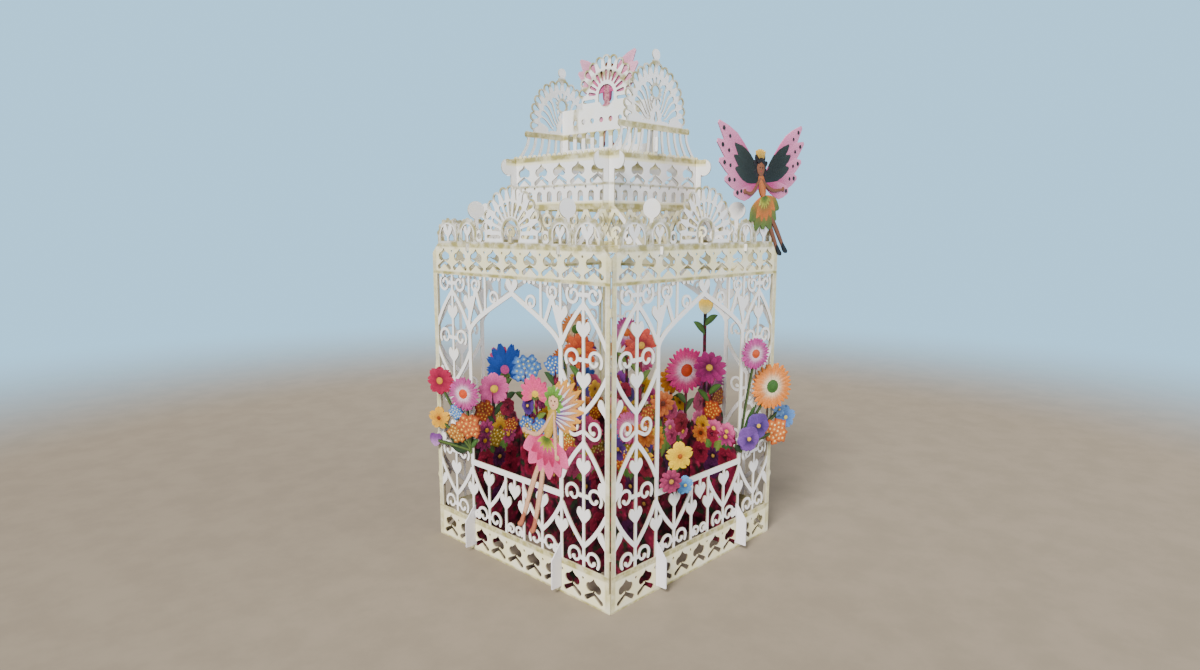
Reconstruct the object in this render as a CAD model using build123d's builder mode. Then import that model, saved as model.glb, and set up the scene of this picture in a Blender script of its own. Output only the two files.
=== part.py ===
from build123d import *
import os
from math import cos, hypot, pi, sin

# Card stock and fits
card = 0.5  # thickness of every sheet
play = 0.15  # gap on each side of a sheet in its slot
end_gap = 0.3  # gap between the end of an inner sheet and a wall

# Walls
wall_width = 110.0
wall_height = 136.2
border = 2.9  # solid strip down each edge of a wall
corner_cut = 4.0  # bevel of a wall's top corners

# Fold between two walls of one sheet: slits with bridges of card between them
slit_reach = 0.8
slit_margin = 8.0
slit_short = 13.0
slit_bridge = 3.0

# Rows of spade cut-outs at the foot and the head of a wall
spade_count = 9
spade_width = 8.0
spade_height = 9.2
foot_rail = 2.3
base_stripe = 3.0
head_rail = 1.8
head_stripe = 2.3

# Lattice of crossing bars with hearts on stems
lattice_rows = 2
bar = 1.9
stem = 1.7
heart_width = 6.0
heart_height = 6.2
lattice_head = 4.0

# Window with an ogee head
window_width = 55.2
post = 2.1
sill = 2.5
sill_gap = 2.0
arch_rise = 17.9
arch_gap = 6.8

# Crest along the top of a wall: round arches beside a sunburst fan
crest_margin = 4.5
crest_rail = 1.2
crest_band = 2.1
crest_height = 10.4
outer_arch_width = 15.0
inner_arch_width = 11.7
arch_space = 0.9
fan_radius = 18.6
fan_stilt = 5.2
fan_hub = 7.4
fan_rim = 2.6
fan_ray = 1.7
fan_gaps = 6
hub_opening = 9.4

# Inner sheets cross as a noughts-and-crosses grid, this far in from midway between two spades
cross_shift = 0.8
garden_height = 44.0
fin_foot = 2.4
fin_height = 18.4
fin_lip = 12.0
fin_reach = 5.0

# Stepped roof sheets
tab_height = 3.0
tab_drop = 2.6
tab_reach = 1.3
tier_foot = 150.8
tier_top = 173.1
tier_overhang = 3.1
truss_bar = 1.9
truss_count = 4
tier_spade_count = 5
tier_spade_width = 7.4
tier_spade_height = 8.6
tier_rail = 2.4
ear_radius = 3.5
knob_wide = 4.2
knob_tall = 3.7
knob_height = 150.7
knob_inset = 3.6

# Cage of bars, dome and finial on two of the roof sheets
cage_height = 10.2
cage_inset = 1.2
cage_bar = 1.5
cage_bars = 9
cage_post = 3.0
dome_rail = 2.5
dome_lip = 0.8
dome_width = 39.6
dome_height = 24.7
dome_hub = 5.6
dome_rim = 3.0
dome_gaps = 6
finial_radius = 2.9

# Plain panel with a fan that links the two cages
link_foot = 174.6
link_height = 21.9
link_tab = 6.0
link_fan_radius = 17.2
link_fan_stilt = 4.3

# Chords in rounded outlines
arch_chords = 4
fan_chords = 8
bloom_chords = 6
knob_chords = 6

# Cut-out flowers and figures
bloom_stem = 1.8
head_radius = 3.8
limb = 2.0

# Sizes that follow from the ones above
half = wall_width / 2
slot = card + 2 * play
post_at = window_width / 2 + post / 2
column_out = half - border
column_in = window_width / 2 + post
column_at = (column_out + column_in) / 2
lattice_foot = foot_rail + spade_height + base_stripe
lattice_top = wall_height - head_rail - spade_height - head_stripe
period = (lattice_top - lattice_foot - lattice_head) / lattice_rows
vee_foot = 0.16 * period
vee_head = 0.435 * period
peak_foot = 0.645 * period
peak_head = 0.94 * period
vee_heart = 0.385 * period
peak_heart = 0.755 * period
low_heart = 0.255 * period
sill_under = lattice_foot + vee_head + sill_gap
sill_top = sill_under + sill
inner_stem_at = 0.105 * window_width
sill_vee_at = (post_at + inner_stem_at) / 2
apex = lattice_top - arch_gap
spring = apex - arch_rise
fan_centre = wall_height + fan_stilt
rail_foot = wall_height - tab_drop
rail_top = rail_foot + tab_height
inner_half = half - card - end_gap
spade_pitch = 2 * column_out / spade_count
cross_at = 2.5 * spade_pitch - cross_shift
tier_length = 2 * (cross_at + tier_overhang)
cage_foot_width = 2 * (cross_at - cage_inset)
cage_head_width = dome_width + 2 * dome_lip
cage_top = tier_top + cage_height
dome_foot = cage_top + dome_rail
link_half = cross_at - card / 2 - play
link_top = link_foot + link_height
link_fan_centre = link_top + link_fan_stilt
left, right, rear_right, rear_left = -90, 0, 90, 180


def side_plane(turn, distance):
    """Upright plane parallel to a wall, seen from outside, at a distance from the middle."""
    angle = turn * pi / 180
    along = (cos(angle), sin(angle), 0)
    outward = (sin(angle), -cos(angle), 0)
    return Plane(origin=(0, 0, 0), x_dir=along, z_dir=outward).offset(distance)


def round_points(x, z, wide, tall, chords):
    """Oval with flat chords about a centre."""
    steps = [2 * pi * (k + 0.5) / chords for k in range(chords)]
    return [(x + wide * cos(t), z + tall * sin(t)) for t in steps]


def arch_points(x, foot, width, height, chords):
    """Round-headed opening or crest arch on stilts, from foot to crown."""
    radius = width / 2
    centre = foot + height - radius
    head = [pi * k / chords for k in range(chords + 1)]
    crown = [(x + radius * cos(t), centre + radius * sin(t)) for t in head]
    return [(x - radius, foot), (x + radius, foot)] + crown


def fan_gaps_points(x, z, near, far, count):
    """All the gaps of a half-round fan, with rays of even width."""
    step = pi / count
    gaps = []
    for k in range(count):
        middle = (k + 0.5) * step
        near_half = step / 2 - fan_ray / 2 / near
        far_half = step / 2 - fan_ray / 2 / far
        corners = [(near, -near_half), (far, -far_half), (far, far_half), (near, near_half)]
        gaps.append([(x + r * cos(middle + t), z + r * sin(middle + t)) for r, t in corners])
    return gaps


def bar_points(start, end, width):
    """Straight strip of card between two points."""
    dx = end[0] - start[0]
    dz = end[1] - start[1]
    scale = width / 2 / hypot(dx, dz)
    px, pz = -dz * scale, dx * scale
    return [
        (start[0] + px, start[1] + pz),
        (start[0] - px, start[1] - pz),
        (end[0] - px, end[1] - pz),
        (end[0] + px, end[1] + pz),
    ]


def mirrored(right_edge, x):
    """Right edge of an outline from top to foot, joined to its mirror image."""
    return right_edge + [(2 * x - px, pz) for px, pz in reversed(right_edge) if px != x]


def spade_points(x, foot, width, height, with_feet):
    """Spade cut-out, on splayed feet or as a plain kite."""
    reach = width / 2
    if with_feet:
        right_edge = [(0, height), (reach, 0.55 * height), (reach, 0), (0, 0.3 * height)]
    else:
        right_edge = [(0, height), (reach, 0.5 * height), (0, 0)]
    return mirrored([(x + dx, foot + dz) for dx, dz in right_edge], x)


def vee_points(x, z, reach, rise, width):
    """Two straight arms from a mitred point, cut upright at their ends; a negative rise points up."""
    thick = width * hypot(reach, rise) / reach / 2
    top_edge = [(x - reach, z + rise + thick), (x, z + thick), (x + reach, z + rise + thick)]
    low_edge = [(x + reach, z + rise - thick), (x, z - thick), (x - reach, z + rise - thick)]
    return top_edge + low_edge


def heart_points(x, z):
    """Heart with its point down, about its centre."""
    wide, tall = heart_width / 2, heart_height / 2
    right_edge = [(0, 0.45 * tall), (0.55 * wide, tall), (wide, 0.3 * tall), (0, -tall)]
    return mirrored([(x + dx, z + dz) for dx, dz in right_edge], x)


def window_points(grow):
    """Window outline: upright sides and an ogee head, made larger all round."""
    reach = window_width / 2 + grow
    rise = arch_rise + 0.5 * grow
    shoulder = [(1.0, 0.0), (0.89, 0.27), (0.69, 0.47)]
    right_edge = [(share * reach, spring + lift * rise) for share, lift in shoulder]
    left_edge = [(-px, pz) for px, pz in reversed(right_edge)]
    foot = sill_top - grow
    return [(-reach, foot), (reach, foot)] + right_edge + [(0, apex + grow)] + left_edge


def spread(count, length):
    """Evenly spaced places about the middle."""
    pitch = length / count
    return [(k - (count - 1) / 2) * pitch for k in range(count)]


def lattice_sketch(with_hearts):
    """Bars, stems and hearts of the right half of a wall, then mirrored."""
    arm = column_out - column_at + stem / 2
    sill_arm = post_at - sill_vee_at
    rise, drop = vee_head - vee_foot, peak_foot - peak_head
    low, high = lattice_foot - bar, lattice_top + bar
    bases = [lattice_foot + row * period for row in range(lattice_rows)]
    stems = [(column_at, low, high), (post_at, low, sill_top), (post_at, spring, high)]
    stems += [(inner_stem_at, low, sill_top)]
    stems += [(sill_vee_at, low, sill_top if with_hearts else lattice_foot + vee_foot)]
    hearts = [(post_at, lattice_foot + low_heart), (sill_vee_at, lattice_foot + vee_heart)]
    hearts += [(column_at, base + vee_heart) for base in bases]
    hearts += [(column_at, base + peak_heart) for base in bases]
    with BuildSketch() as lattice:
        for base in bases:
            Polygon(*vee_points(column_at, base + vee_foot, arm, rise, bar), align=None)
            Polygon(*vee_points(column_at, base + peak_head, arm, drop, bar), align=None)
        Polygon(*vee_points(sill_vee_at, lattice_foot + vee_foot, sill_arm, rise, bar), align=None)
        for x, start, end in stems:
            Polygon(*bar_points((x, start), (x, end), stem), align=None)
        if with_hearts:
            for x, z in hearts:
                Polygon(*heart_points(x, z), align=None)
        mirror(about=Plane.YZ)
        with Locations((0, sill_top - sill / 2)):
            Rectangle(2 * column_in, sill)
    return lattice.sketch


def wall_sketch(detailed):
    """One wall with its crest, seen from outside; the rear walls have plainer cut-outs."""
    outer_arch_at = half - crest_margin - outer_arch_width / 2
    inner_arch_at = half - crest_margin - outer_arch_width - arch_space - inner_arch_width / 2
    arches = [(outer_arch_at, outer_arch_width), (inner_arch_at, inner_arch_width)]
    shoulder = wall_height - corner_cut
    outline = [(-half, 0), (half, 0), (half, shoulder), (half - corner_cut, wall_height)]
    outline += [(corner_cut - half, wall_height), (-half, shoulder)]
    crest_foot = wall_height - crest_rail
    opening_foot = wall_height + crest_rail
    with BuildSketch() as wall:
        Polygon(*outline, align=None)
        with Locations((0, wall_height)):
            Rectangle(wall_width - 2 * crest_margin, 2 * crest_rail)
        for side in (-1, 1):
            for x, width in arches:
                crest_tall = crest_height + crest_rail
                Polygon(*arch_points(side * x, crest_foot, width, crest_tall, arch_chords), align=None)
        fan_tall = fan_stilt + fan_radius + crest_rail
        Polygon(*arch_points(0, crest_foot, 2 * fan_radius, fan_tall, fan_chords), align=None)
        with Locations((0, (lattice_foot + lattice_top) / 2)):
            Rectangle(2 * column_out, lattice_top - lattice_foot, mode=Mode.SUBTRACT)
        Polygon(*window_points(post), align=None)
        add(lattice_sketch(detailed))
        Polygon(*window_points(0), align=None, mode=Mode.SUBTRACT)
        head_foot = wall_height - head_rail - spade_height
        for foot, with_feet in ((foot_rail, detailed), (head_foot, False)):
            for x in spread(spade_count, 2 * column_out):
                spade = spade_points(x, foot, spade_width, spade_height, with_feet)
                Polygon(*spade, align=None, mode=Mode.SUBTRACT)
        for side in (-1, 1):
            for x, width in arches if detailed else []:
                inside = width - 2 * crest_band
                tall = crest_height - crest_rail - crest_band
                opening = arch_points(side * x, opening_foot, inside, tall, arch_chords // 2)
                Polygon(*opening, align=None, mode=Mode.SUBTRACT)
        for gap in fan_gaps_points(0, fan_centre, fan_hub, fan_radius - fan_rim, fan_gaps):
            Polygon(*gap, align=None, mode=Mode.SUBTRACT)
        hub_tall = fan_stilt + hub_opening / 2 - crest_rail
        hub = arch_points(0, opening_foot, hub_opening, hub_tall, arch_chords // 2)
        Polygon(*hub, align=None, mode=Mode.SUBTRACT)
        slots = [(fin_foot, fin_height), (rail_foot, tab_height)]
        for low, tall in slots:
            with Locations((-cross_at, low + tall / 2), (cross_at, low + tall / 2)):
                Rectangle(slot, tall + 2 * play, mode=Mode.SUBTRACT)
    return wall.sketch


def slit_spans():
    """Foot and head of each slit up a fold."""
    low_end = slit_margin + slit_short
    high_start = wall_height - slit_margin - slit_short
    main = (low_end + slit_bridge, high_start - slit_bridge)
    return [(slit_margin, low_end), main, (high_start, high_start + slit_short)]


def bay_place(share):
    """Place across an inner sheet: one is at a crossing sheet, two at the sheet's end."""
    out = min(abs(share), 1) * cross_at + max(abs(share) - 1, 0) * (inner_half - cross_at)
    return out if share > 0 else -out


def garden_sketch(blooms, slot_from_top):
    """Inner sheet with a bank of flowers, end fins and half slots where it crosses two others."""
    middle = garden_height / 2
    outer = half + fin_reach
    fin_top = fin_foot + fin_height
    fin = [(0, fin_foot), (outer, fin_foot), (outer, fin_foot + fin_lip), (half, fin_top), (0, fin_top)]
    with BuildSketch() as sheet:
        with Locations((0, middle)):
            Rectangle(2 * inner_half, garden_height)
        for side in (-1, 1):
            Polygon(*[(side * x, z) for x, z in fin], align=None)
        for share, lift, radius in blooms:
            x = bay_place(share)
            z = sill_top + lift
            Polygon(*bar_points((x, middle), (x, z), bloom_stem), align=None)
            Polygon(*round_points(x, z, radius, radius, bloom_chords), align=None)
        low, high = (middle - play, tier_top) if slot_from_top else (-card, middle)
        with Locations((-cross_at, (low + high) / 2), (cross_at, (low + high) / 2)):
            Rectangle(slot, high - low, mode=Mode.SUBTRACT)
    return sheet.sketch


def roof_sketch(slot_from_top, with_cage):
    """Roof sheet: rail with wall tabs, truss, stepped tier, and on some a cage with a dome."""
    middle = (tier_foot + tier_top) / 2
    tier_half = tier_length / 2
    knob_at = inner_half - knob_inset
    bay = tier_length / truss_count
    with BuildSketch() as sheet:
        with Locations((0, (rail_foot + rail_top) / 2)):
            Rectangle(2 * (half + tab_reach), tab_height)
        with Locations((0, middle)):
            Rectangle(tier_length, tier_top - tier_foot)
        for x in spread(truss_count, tier_length):
            Polygon(*vee_points(x, rail_top, bay / 2, tier_foot - rail_top, truss_bar), align=None)
        for side in (-1, 1):
            knob = (side * knob_at, knob_height)
            ear = (side * (tier_half + ear_radius / 2), tier_top - ear_radius)
            eave_foot = (side * (knob_at - knob_wide), rail_top - truss_bar / 2)
            eave_head = (side * (tier_half - ear_radius), tier_foot + truss_bar)
            Polygon(*bar_points((side * knob_at, rail_foot), knob, truss_bar), align=None)
            Polygon(*bar_points(eave_foot, eave_head, truss_bar), align=None)
            Polygon(*round_points(*knob, knob_wide, knob_tall, knob_chords), align=None)
            Polygon(*round_points(*ear, ear_radius, ear_radius, knob_chords), align=None)
        for x in spread(tier_spade_count, 2 * cross_at):
            spade_foot = tier_top - tier_rail - tier_spade_height
            spade = spade_points(x, spade_foot, tier_spade_width, tier_spade_height, False)
            Polygon(*spade, align=None, mode=Mode.SUBTRACT)
        if with_cage:
            add(cage_sketch())
        low, high = (middle - play, cage_top) if slot_from_top else (rail_foot - card, middle)
        with Locations((-cross_at, (low + high) / 2), (cross_at, (low + high) / 2)):
            Rectangle(slot, high - low, mode=Mode.SUBTRACT)
    return sheet.sketch


def cage_sketch():
    """Flared bars under a rail, with an openwork dome and a finial on top."""
    with BuildSketch() as cage:
        for k in range(cage_bars):
            share = 2 * k / (cage_bars - 1) - 1
            width = cage_post if 2 * k == cage_bars - 1 else cage_bar
            foot = (share * cage_foot_width / 2, tier_top - card)
            head = (share * cage_head_width / 2, cage_top + card)
            Polygon(*bar_points(foot, head, width), align=None)
        with Locations((0, cage_top + dome_rail / 2)):
            Rectangle(cage_head_width + cage_bar, dome_rail)
        Polygon(*arch_points(0, dome_foot - card, dome_width, dome_height + card, fan_chords), align=None)
        finial_at = dome_foot + dome_height + finial_radius - card
        Polygon(*round_points(0, finial_at, finial_radius, finial_radius, knob_chords), align=None)
        centre = dome_foot + dome_height - dome_width / 2
        for gap in fan_gaps_points(0, centre, dome_hub, dome_width / 2 - dome_rim, dome_gaps):
            Polygon(*gap, align=None, mode=Mode.SUBTRACT)
        with Locations((0, link_foot + link_tab / 2 + play)):
            Rectangle(slot, link_tab + 2 * play, mode=Mode.SUBTRACT)
    return cage.sketch


def link_sketch():
    """Panel between the two cages, with end tabs and a fan on top."""
    tab_out = cross_at + card / 2 + tab_reach
    with BuildSketch() as panel:
        with Locations((0, link_foot + link_height / 2)):
            Rectangle(2 * link_half, link_height)
        with Locations((0, link_foot + play + link_tab / 2)):
            Rectangle(2 * tab_out, link_tab)
        fan_tall = link_fan_stilt + link_fan_radius + card
        Polygon(*arch_points(0, link_top - card, 2 * link_fan_radius, fan_tall, fan_chords), align=None)
        for gap in fan_gaps_points(0, link_fan_centre, fan_hub, link_fan_radius - fan_rim, fan_gaps):
            Polygon(*gap, align=None, mode=Mode.SUBTRACT)
        hub = arch_points(0, link_top, hub_opening, link_fan_stilt + hub_opening / 2, arch_chords // 2)
        Polygon(*hub, align=None, mode=Mode.SUBTRACT)
    return panel.sketch


def spray_sketch(side, root, blooms):
    """Cut-out bunch of flowers, placed from a window post and the sill."""
    base = (side * (post_at + root[0]), sill_top + root[1])
    with BuildSketch() as bunch:
        for dx, lift, radius in blooms:
            head = (side * (post_at + dx), sill_top + lift)
            Polygon(*bar_points(base, head, bloom_stem), align=None)
            Polygon(*round_points(*head, radius, radius, bloom_chords), align=None)
    return bunch.sketch


def figure_sketch(at, pose):
    """Small winged figure: head, body, flared dress, arms, legs and wings about an anchor point."""
    spots = {name: [(at[0] + dx, at[1] + dz) for dx, dz in places] for name, places in pose.items()}
    neck, hip = spots["body"]
    head = (neck[0], neck[1] + 0.8 * head_radius)
    with BuildSketch() as figure:
        Polygon(*round_points(*head, head_radius, head_radius, knob_chords), align=None)
        Polygon(*bar_points(neck, hip, head_radius), align=None)
        Polygon(neck, *spots["hem"], align=None)
        for foot in spots["feet"]:
            Polygon(*bar_points(hip, foot, limb), align=None)
        for hand in spots["hands"]:
            Polygon(*bar_points(neck, hand, limb), align=None)
        for wing in ("left_wing", "right_wing"):
            if wing in spots:
                Polygon(hip, neck, *spots[wing], align=None)
    return figure.sketch


# Places of the flowers: share of the way across a bay, up from the sill, radius
garden_a_blooms = [(-1.396, 38.9, 7.8), (-0.585, 29.7, 6.5), (0.426, 50.0, 7.5), (1.492, 22.0, 7.0)]
garden_b_blooms = [(0.851, 36.8, 9.5), (1.569, 30.0, 7.5), (-0.284, 52.0, 8.0), (-1.454, 20.0, 7.0)]

# Places of the outer flowers: out from the window post, up from the sill, radius
wide_spray = [(18.1, 33.3, 6.5), (0.1, 30.1, 7.2), (20.4, 15.6, 5.2), (-2.3, 16.2, 5.8), (25.0, 4.0, 3.4)]
tall_spray = [(4.7, 47.0, 6.7), (17.1, 30.8, 10.4), (33.0, 13.2, 5.9), (24.4, 8.2, 6.6), (2.0, 9.0, 6.2)]
posy = [(-9.8, 12.3, 5.8), (-5.0, 3.0, 4.9), (-14.6, -1.4, 3.8)]

# Poses of the figures, from an anchor point on the sheet that carries each
window_pose = {
    "body": [(-3.1, 32.6), (-8.7, 16.1)],
    "hem": [(-20.7, 2.1), (-12.7, -3.9), (-1.7, -1.9)],
    "feet": [(-24.7, -20.9), (-16.7, -22.9)],
    "hands": [(-22.7, 20.1)],
    "right_wing": [(5.4, 44.1), (16.4, 32.1), (14.4, 20.1), (7.4, 10.1)],
}
corner_pose = {
    "body": [(-17.5, 29.8), (-13.0, 17.8)],
    "hem": [(-22.0, 9.8), (-9.0, 2.8), (3.0, 8.8)],
    "feet": [(0.0, -5.2), (5.0, -4.7)],
    "hands": [(-31.0, 21.8), (3.0, 23.8)],
    "left_wing": [(-25.0, 39.8), (-47.0, 48.8), (-46.0, 29.8), (-25.0, 20.8)],
    "right_wing": [(-9.0, 39.8), (15.0, 50.8), (13.0, 31.8), (-6.0, 20.8)],
}
crown_pose = {
    "body": [(0.0, 9.5), (0.0, -1.0)],
    "hem": [(-7.0, -13.0), (7.0, -13.0)],
    "feet": [(-2.5, -18.0), (2.5, -18.0)],
    "hands": [],
    "left_wing": [(-8.0, 15.0), (-20.0, 17.5), (-16.0, 5.0)],
    "right_wing": [(8.0, 15.0), (20.0, 17.5), (16.0, 5.0)],
}

os.makedirs("parts", exist_ok=True)

# Front sheet: the two walls that meet at the front corner
front_wall = wall_sketch(detailed=True)
with BuildPart() as front_walls:
    for turn in (left, right):
        with BuildSketch(side_plane(turn, half)):
            add(front_wall)
        extrude(amount=-card)
    for low, high in slit_spans():
        with Locations((-half, -half, (low + high) / 2)):
            Box(2 * slit_reach, 2 * slit_reach, high - low, mode=Mode.SUBTRACT)
front_walls.part.label = "front_walls"
export_step(front_walls.part, "parts/front_walls.step")

# Rear sheet: the other two walls, with a glue flap behind each edge of the front sheet
rear_wall = wall_sketch(detailed=False)
flap_height = wall_height - corner_cut
with BuildPart() as rear_walls:
    for turn, glue_end in ((rear_right, -half), (rear_left, half)):
        with BuildSketch(side_plane(turn, half)):
            add(rear_wall)
            with Locations((glue_end, wall_height / 2)):
                Rectangle(2 * card, wall_height, mode=Mode.SUBTRACT)
        extrude(amount=-card)
    flap_in = half - 1.5 * card
    with Locations((-flap_in, half - border / 2, flap_height / 2)):
        Box(card, border, flap_height)
    with Locations((half - border / 2, -flap_in, flap_height / 2)):
        Box(border, card, flap_height)
    for low, high in slit_spans():
        with Locations((half, half, (low + high) / 2)):
            Box(2 * slit_reach, 2 * slit_reach, high - low, mode=Mode.SUBTRACT)
rear_walls.part.label = "rear_walls"
export_step(rear_walls.part, "parts/rear_walls.step")

# Four inner sheets with banks of flowers
garden_a = garden_sketch(garden_a_blooms, slot_from_top=True)
garden_b = garden_sketch(garden_b_blooms, slot_from_top=False)
gardens = {"left": (left, garden_a), "right": (right, garden_b)}
gardens |= {"rear_right": (rear_right, garden_a), "rear_left": (rear_left, garden_b)}
for side, (turn, sheet) in gardens.items():
    with BuildPart() as garden:
        with BuildSketch(side_plane(turn, cross_at)):
            add(sheet)
        extrude(amount=card / 2, both=True)
    garden.part.label = f"garden_{side}"
    export_step(garden.part, f"parts/garden_{side}.step")

# Four roof sheets
roof_a = roof_sketch(slot_from_top=True, with_cage=False)
roof_b = roof_sketch(slot_from_top=False, with_cage=True)
roofs = {"left": (left, roof_a), "right": (right, roof_b)}
roofs |= {"rear_right": (rear_right, roof_a), "rear_left": (rear_left, roof_b)}
for side, (turn, sheet) in roofs.items():
    with BuildPart() as roof:
        with BuildSketch(side_plane(turn, cross_at)):
            add(sheet)
        extrude(amount=card / 2, both=True)
    roof.part.label = f"roof_{side}"
    export_step(roof.part, f"parts/roof_{side}.step")

# Panel between the cages
with BuildPart() as crown_link:
    with BuildSketch(side_plane(left, 0)):
        add(link_sketch())
    extrude(amount=card / 2, both=True)
crown_link.part.label = "crown_link"
export_step(crown_link.part, "parts/crown_link.step")

# Flowers and figures glued to the outside of the walls
wide_bunch = spray_sketch(-1, (1.0, 4.0), wide_spray)
tall_bunch = spray_sketch(1, (0.5, 4.0), tall_spray)
window_figure = figure_sketch((post_at, sill_top), window_pose)
corner_figure = figure_sketch((half, wall_height), corner_pose)
outer_pieces = {
    "spray_left": (left, wide_bunch),
    "spray_right": (right, tall_bunch),
    "spray_rear_right": (rear_right, spray_sketch(1, (1.0, 4.0), wide_spray)),
    "spray_rear_left": (rear_left, spray_sketch(-1, (1.0, 4.0), wide_spray[:-1])),
    "posy_right": (right, spray_sketch(-1, (-8.0, 4.0), posy)),
    "window_figure": (left, window_figure),
    "corner_figure": (right, corner_figure),
}
for name, (turn, outline) in outer_pieces.items():
    with BuildPart() as outer_piece:
        with BuildSketch(side_plane(turn, half)):
            add(outline)
        extrude(amount=card)
    outer_piece.part.label = name
    export_step(outer_piece.part, f"parts/{name}.step")

# Figure glued behind the fan of the panel
with BuildPart() as crown_figure:
    with BuildSketch(side_plane(left, -card / 2)):
        add(figure_sketch((0, link_top), crown_pose))
    extrude(amount=-card)
crown_figure.part.label = "crown_figure"
export_step(crown_figure.part, "parts/crown_figure.step")
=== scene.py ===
"""Dresses a pop up card: die-cut openwork walls and roofs, printed flowers and small winged figures."""

import logging
import math
from dataclasses import dataclass, field
from enum import Enum
from typing import Iterable, Protocol, Sequence

import bpy
import numpy as np
from mathutils import Matrix, Vector
from mathutils.geometry import delaunay_2d_cdt


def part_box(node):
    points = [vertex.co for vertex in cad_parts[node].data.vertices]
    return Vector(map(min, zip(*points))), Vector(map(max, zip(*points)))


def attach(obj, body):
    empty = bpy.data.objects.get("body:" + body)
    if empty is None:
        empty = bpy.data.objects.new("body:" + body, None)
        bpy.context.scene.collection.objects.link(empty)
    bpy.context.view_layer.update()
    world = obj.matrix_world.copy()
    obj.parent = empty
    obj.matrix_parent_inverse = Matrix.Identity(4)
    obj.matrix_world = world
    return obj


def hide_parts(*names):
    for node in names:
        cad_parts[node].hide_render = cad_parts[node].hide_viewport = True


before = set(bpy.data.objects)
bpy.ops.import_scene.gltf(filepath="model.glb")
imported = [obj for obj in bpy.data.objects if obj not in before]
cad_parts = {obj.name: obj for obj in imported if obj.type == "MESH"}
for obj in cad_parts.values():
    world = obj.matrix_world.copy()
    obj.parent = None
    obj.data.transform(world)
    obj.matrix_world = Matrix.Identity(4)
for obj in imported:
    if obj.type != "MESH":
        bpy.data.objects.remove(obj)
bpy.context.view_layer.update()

log = logging.getLogger("pop_up_card")

MM = 0.001
CARD = 0.5
PLAY = 0.15
SLOT = CARD + 2 * PLAY
HALF = -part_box("front_walls")[0].x / MM
INNER_HALF = HALF - CARD - 0.3
CROSS_AT = -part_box("roof_left")[0].x / MM - CARD / 2
WALL_HEIGHT = 136.2
SILL_TOP = 41.9
POST_AT = 28.65
RAIL_FOOT = WALL_HEIGHT - 2.6
RAIL_TOP = RAIL_FOOT + 3.0
TIER_FOOT, TIER_TOP = 150.8, 173.1
CAGE_TOP = TIER_TOP + 10.2
DOME_FOOT = CAGE_TOP + 2.5
LINK_FOOT, LINK_TOP = 174.6, 196.5
# Rounding where fine ornament, and where bars and knobs, run into the card.
BLEND, KNOB_BLEND = 0.3, 0.4


class Side(Enum):
    """The four sides of the card, by the turn of the wall about the upright axis in degrees."""

    LEFT = -90
    RIGHT = 0
    REAR_RIGHT = 90
    REAR_LEFT = 180


class Curl(Enum):
    """Ways a pair of curls springs: start angle and turn of the right-hand one in degrees."""

    OVER = (-35.0, 350.0)
    UNDER = (35.0, -350.0)
    FROM_STEM = (-125.0, 390.0)


class BloomKind(Enum):
    """How a printed flower head is made up, by the name of the method that prints it."""

    GERBERA = "gerbera"
    DAISY = "daisy"
    COSMOS = "cosmos"
    CLUSTER = "cluster"
    PANSY = "pansy"
    ROSE = "rose"
    TULIP = "tulip"
    PRIMROSE = "primrose"
    PROFILE = "profile"


def ink(code: str) -> np.ndarray:
    """Linear colour of a printing ink.

    Args:
        code: Six hexadecimal digits of the ink as it looks on paper.

    Returns:
        Three linear colour values.
    """
    value = np.array([int(code[k : k + 2], 16) for k in (0, 2, 4)]) / 255.0
    return np.where(value <= 0.04045, value / 12.92, ((value + 0.055) / 1.055) ** 2.4)


def arc(x: float, z: float, radius: float, start: float, end: float, count: int = 25) -> np.ndarray:
    """Points along a circular arc, from one angle to another in degrees."""
    angle = np.radians(np.linspace(start, end, count))
    return np.stack([x + radius * np.cos(angle), z + radius * np.sin(angle)], axis=1)


def bezier(start: Sequence, first: Sequence, second: Sequence, end: Sequence, count: int = 25) -> np.ndarray:
    """Points along a cubic curve between two ends, pulled towards two guides.

    Args:
        start: First end.
        first: Guide of the first end.
        second: Guide of the second end.
        end: Second end.
        count: Number of points.

    Returns:
        The points, one row each.
    """
    t = np.linspace(0.0, 1.0, count)[:, None]
    ends = (1 - t) ** 3 * np.array(start) + t**3 * np.array(end)
    return ends + 3 * t * (1 - t) ** 2 * np.array(first) + 3 * t**2 * (1 - t) * np.array(second)


class Shape(Protocol):
    """A flat shape with a signed distance, negative inside."""

    def bounds(self) -> np.ndarray:
        """Lowest and highest corners."""

    def distance(self, x: np.ndarray, z: np.ndarray) -> np.ndarray:
        """Signed distance on the grid of both axes."""


@dataclass(frozen=True)
class Stroke:
    """A strip of card along a line of points, round at its ends, that may taper."""

    points: np.ndarray
    width: float
    end_width: float | None = None

    def bounds(self) -> np.ndarray:
        """Lowest and highest corners of the strip.

        Returns:
            Both corners, one row each.
        """
        line = np.asarray(self.points, float)
        reach = max(self.width, self.end_width or 0.0) / 2
        return np.stack([line.min(axis=0) - reach, line.max(axis=0) + reach])

    def distance(self, x: np.ndarray, z: np.ndarray) -> np.ndarray:
        """Distance to the nearest stretch of the line, less half the width there.

        Args:
            x: Places across, one axis.
            z: Places up, one axis.

        Returns:
            Signed distance on the grid of both axes.
        """
        line = np.asarray(self.points, float)
        last = self.width if self.end_width is None else self.end_width
        widths = np.linspace(self.width, last, len(line)) / 2
        start, run = line[:-1], np.diff(line, axis=0)
        dx = x[None, None, :] - start[:, 0, None, None]
        dz = z[None, :, None] - start[:, 1, None, None]
        rx, rz = run[:, 0, None, None], run[:, 1, None, None]
        share = np.clip((dx * rx + dz * rz) / np.maximum(rx**2 + rz**2, 1e-9), 0.0, 1.0)
        half = widths[:-1, None, None] + np.diff(widths)[:, None, None] * share
        return (np.hypot(dx - share * rx, dz - share * rz) - half).min(axis=0)


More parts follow.
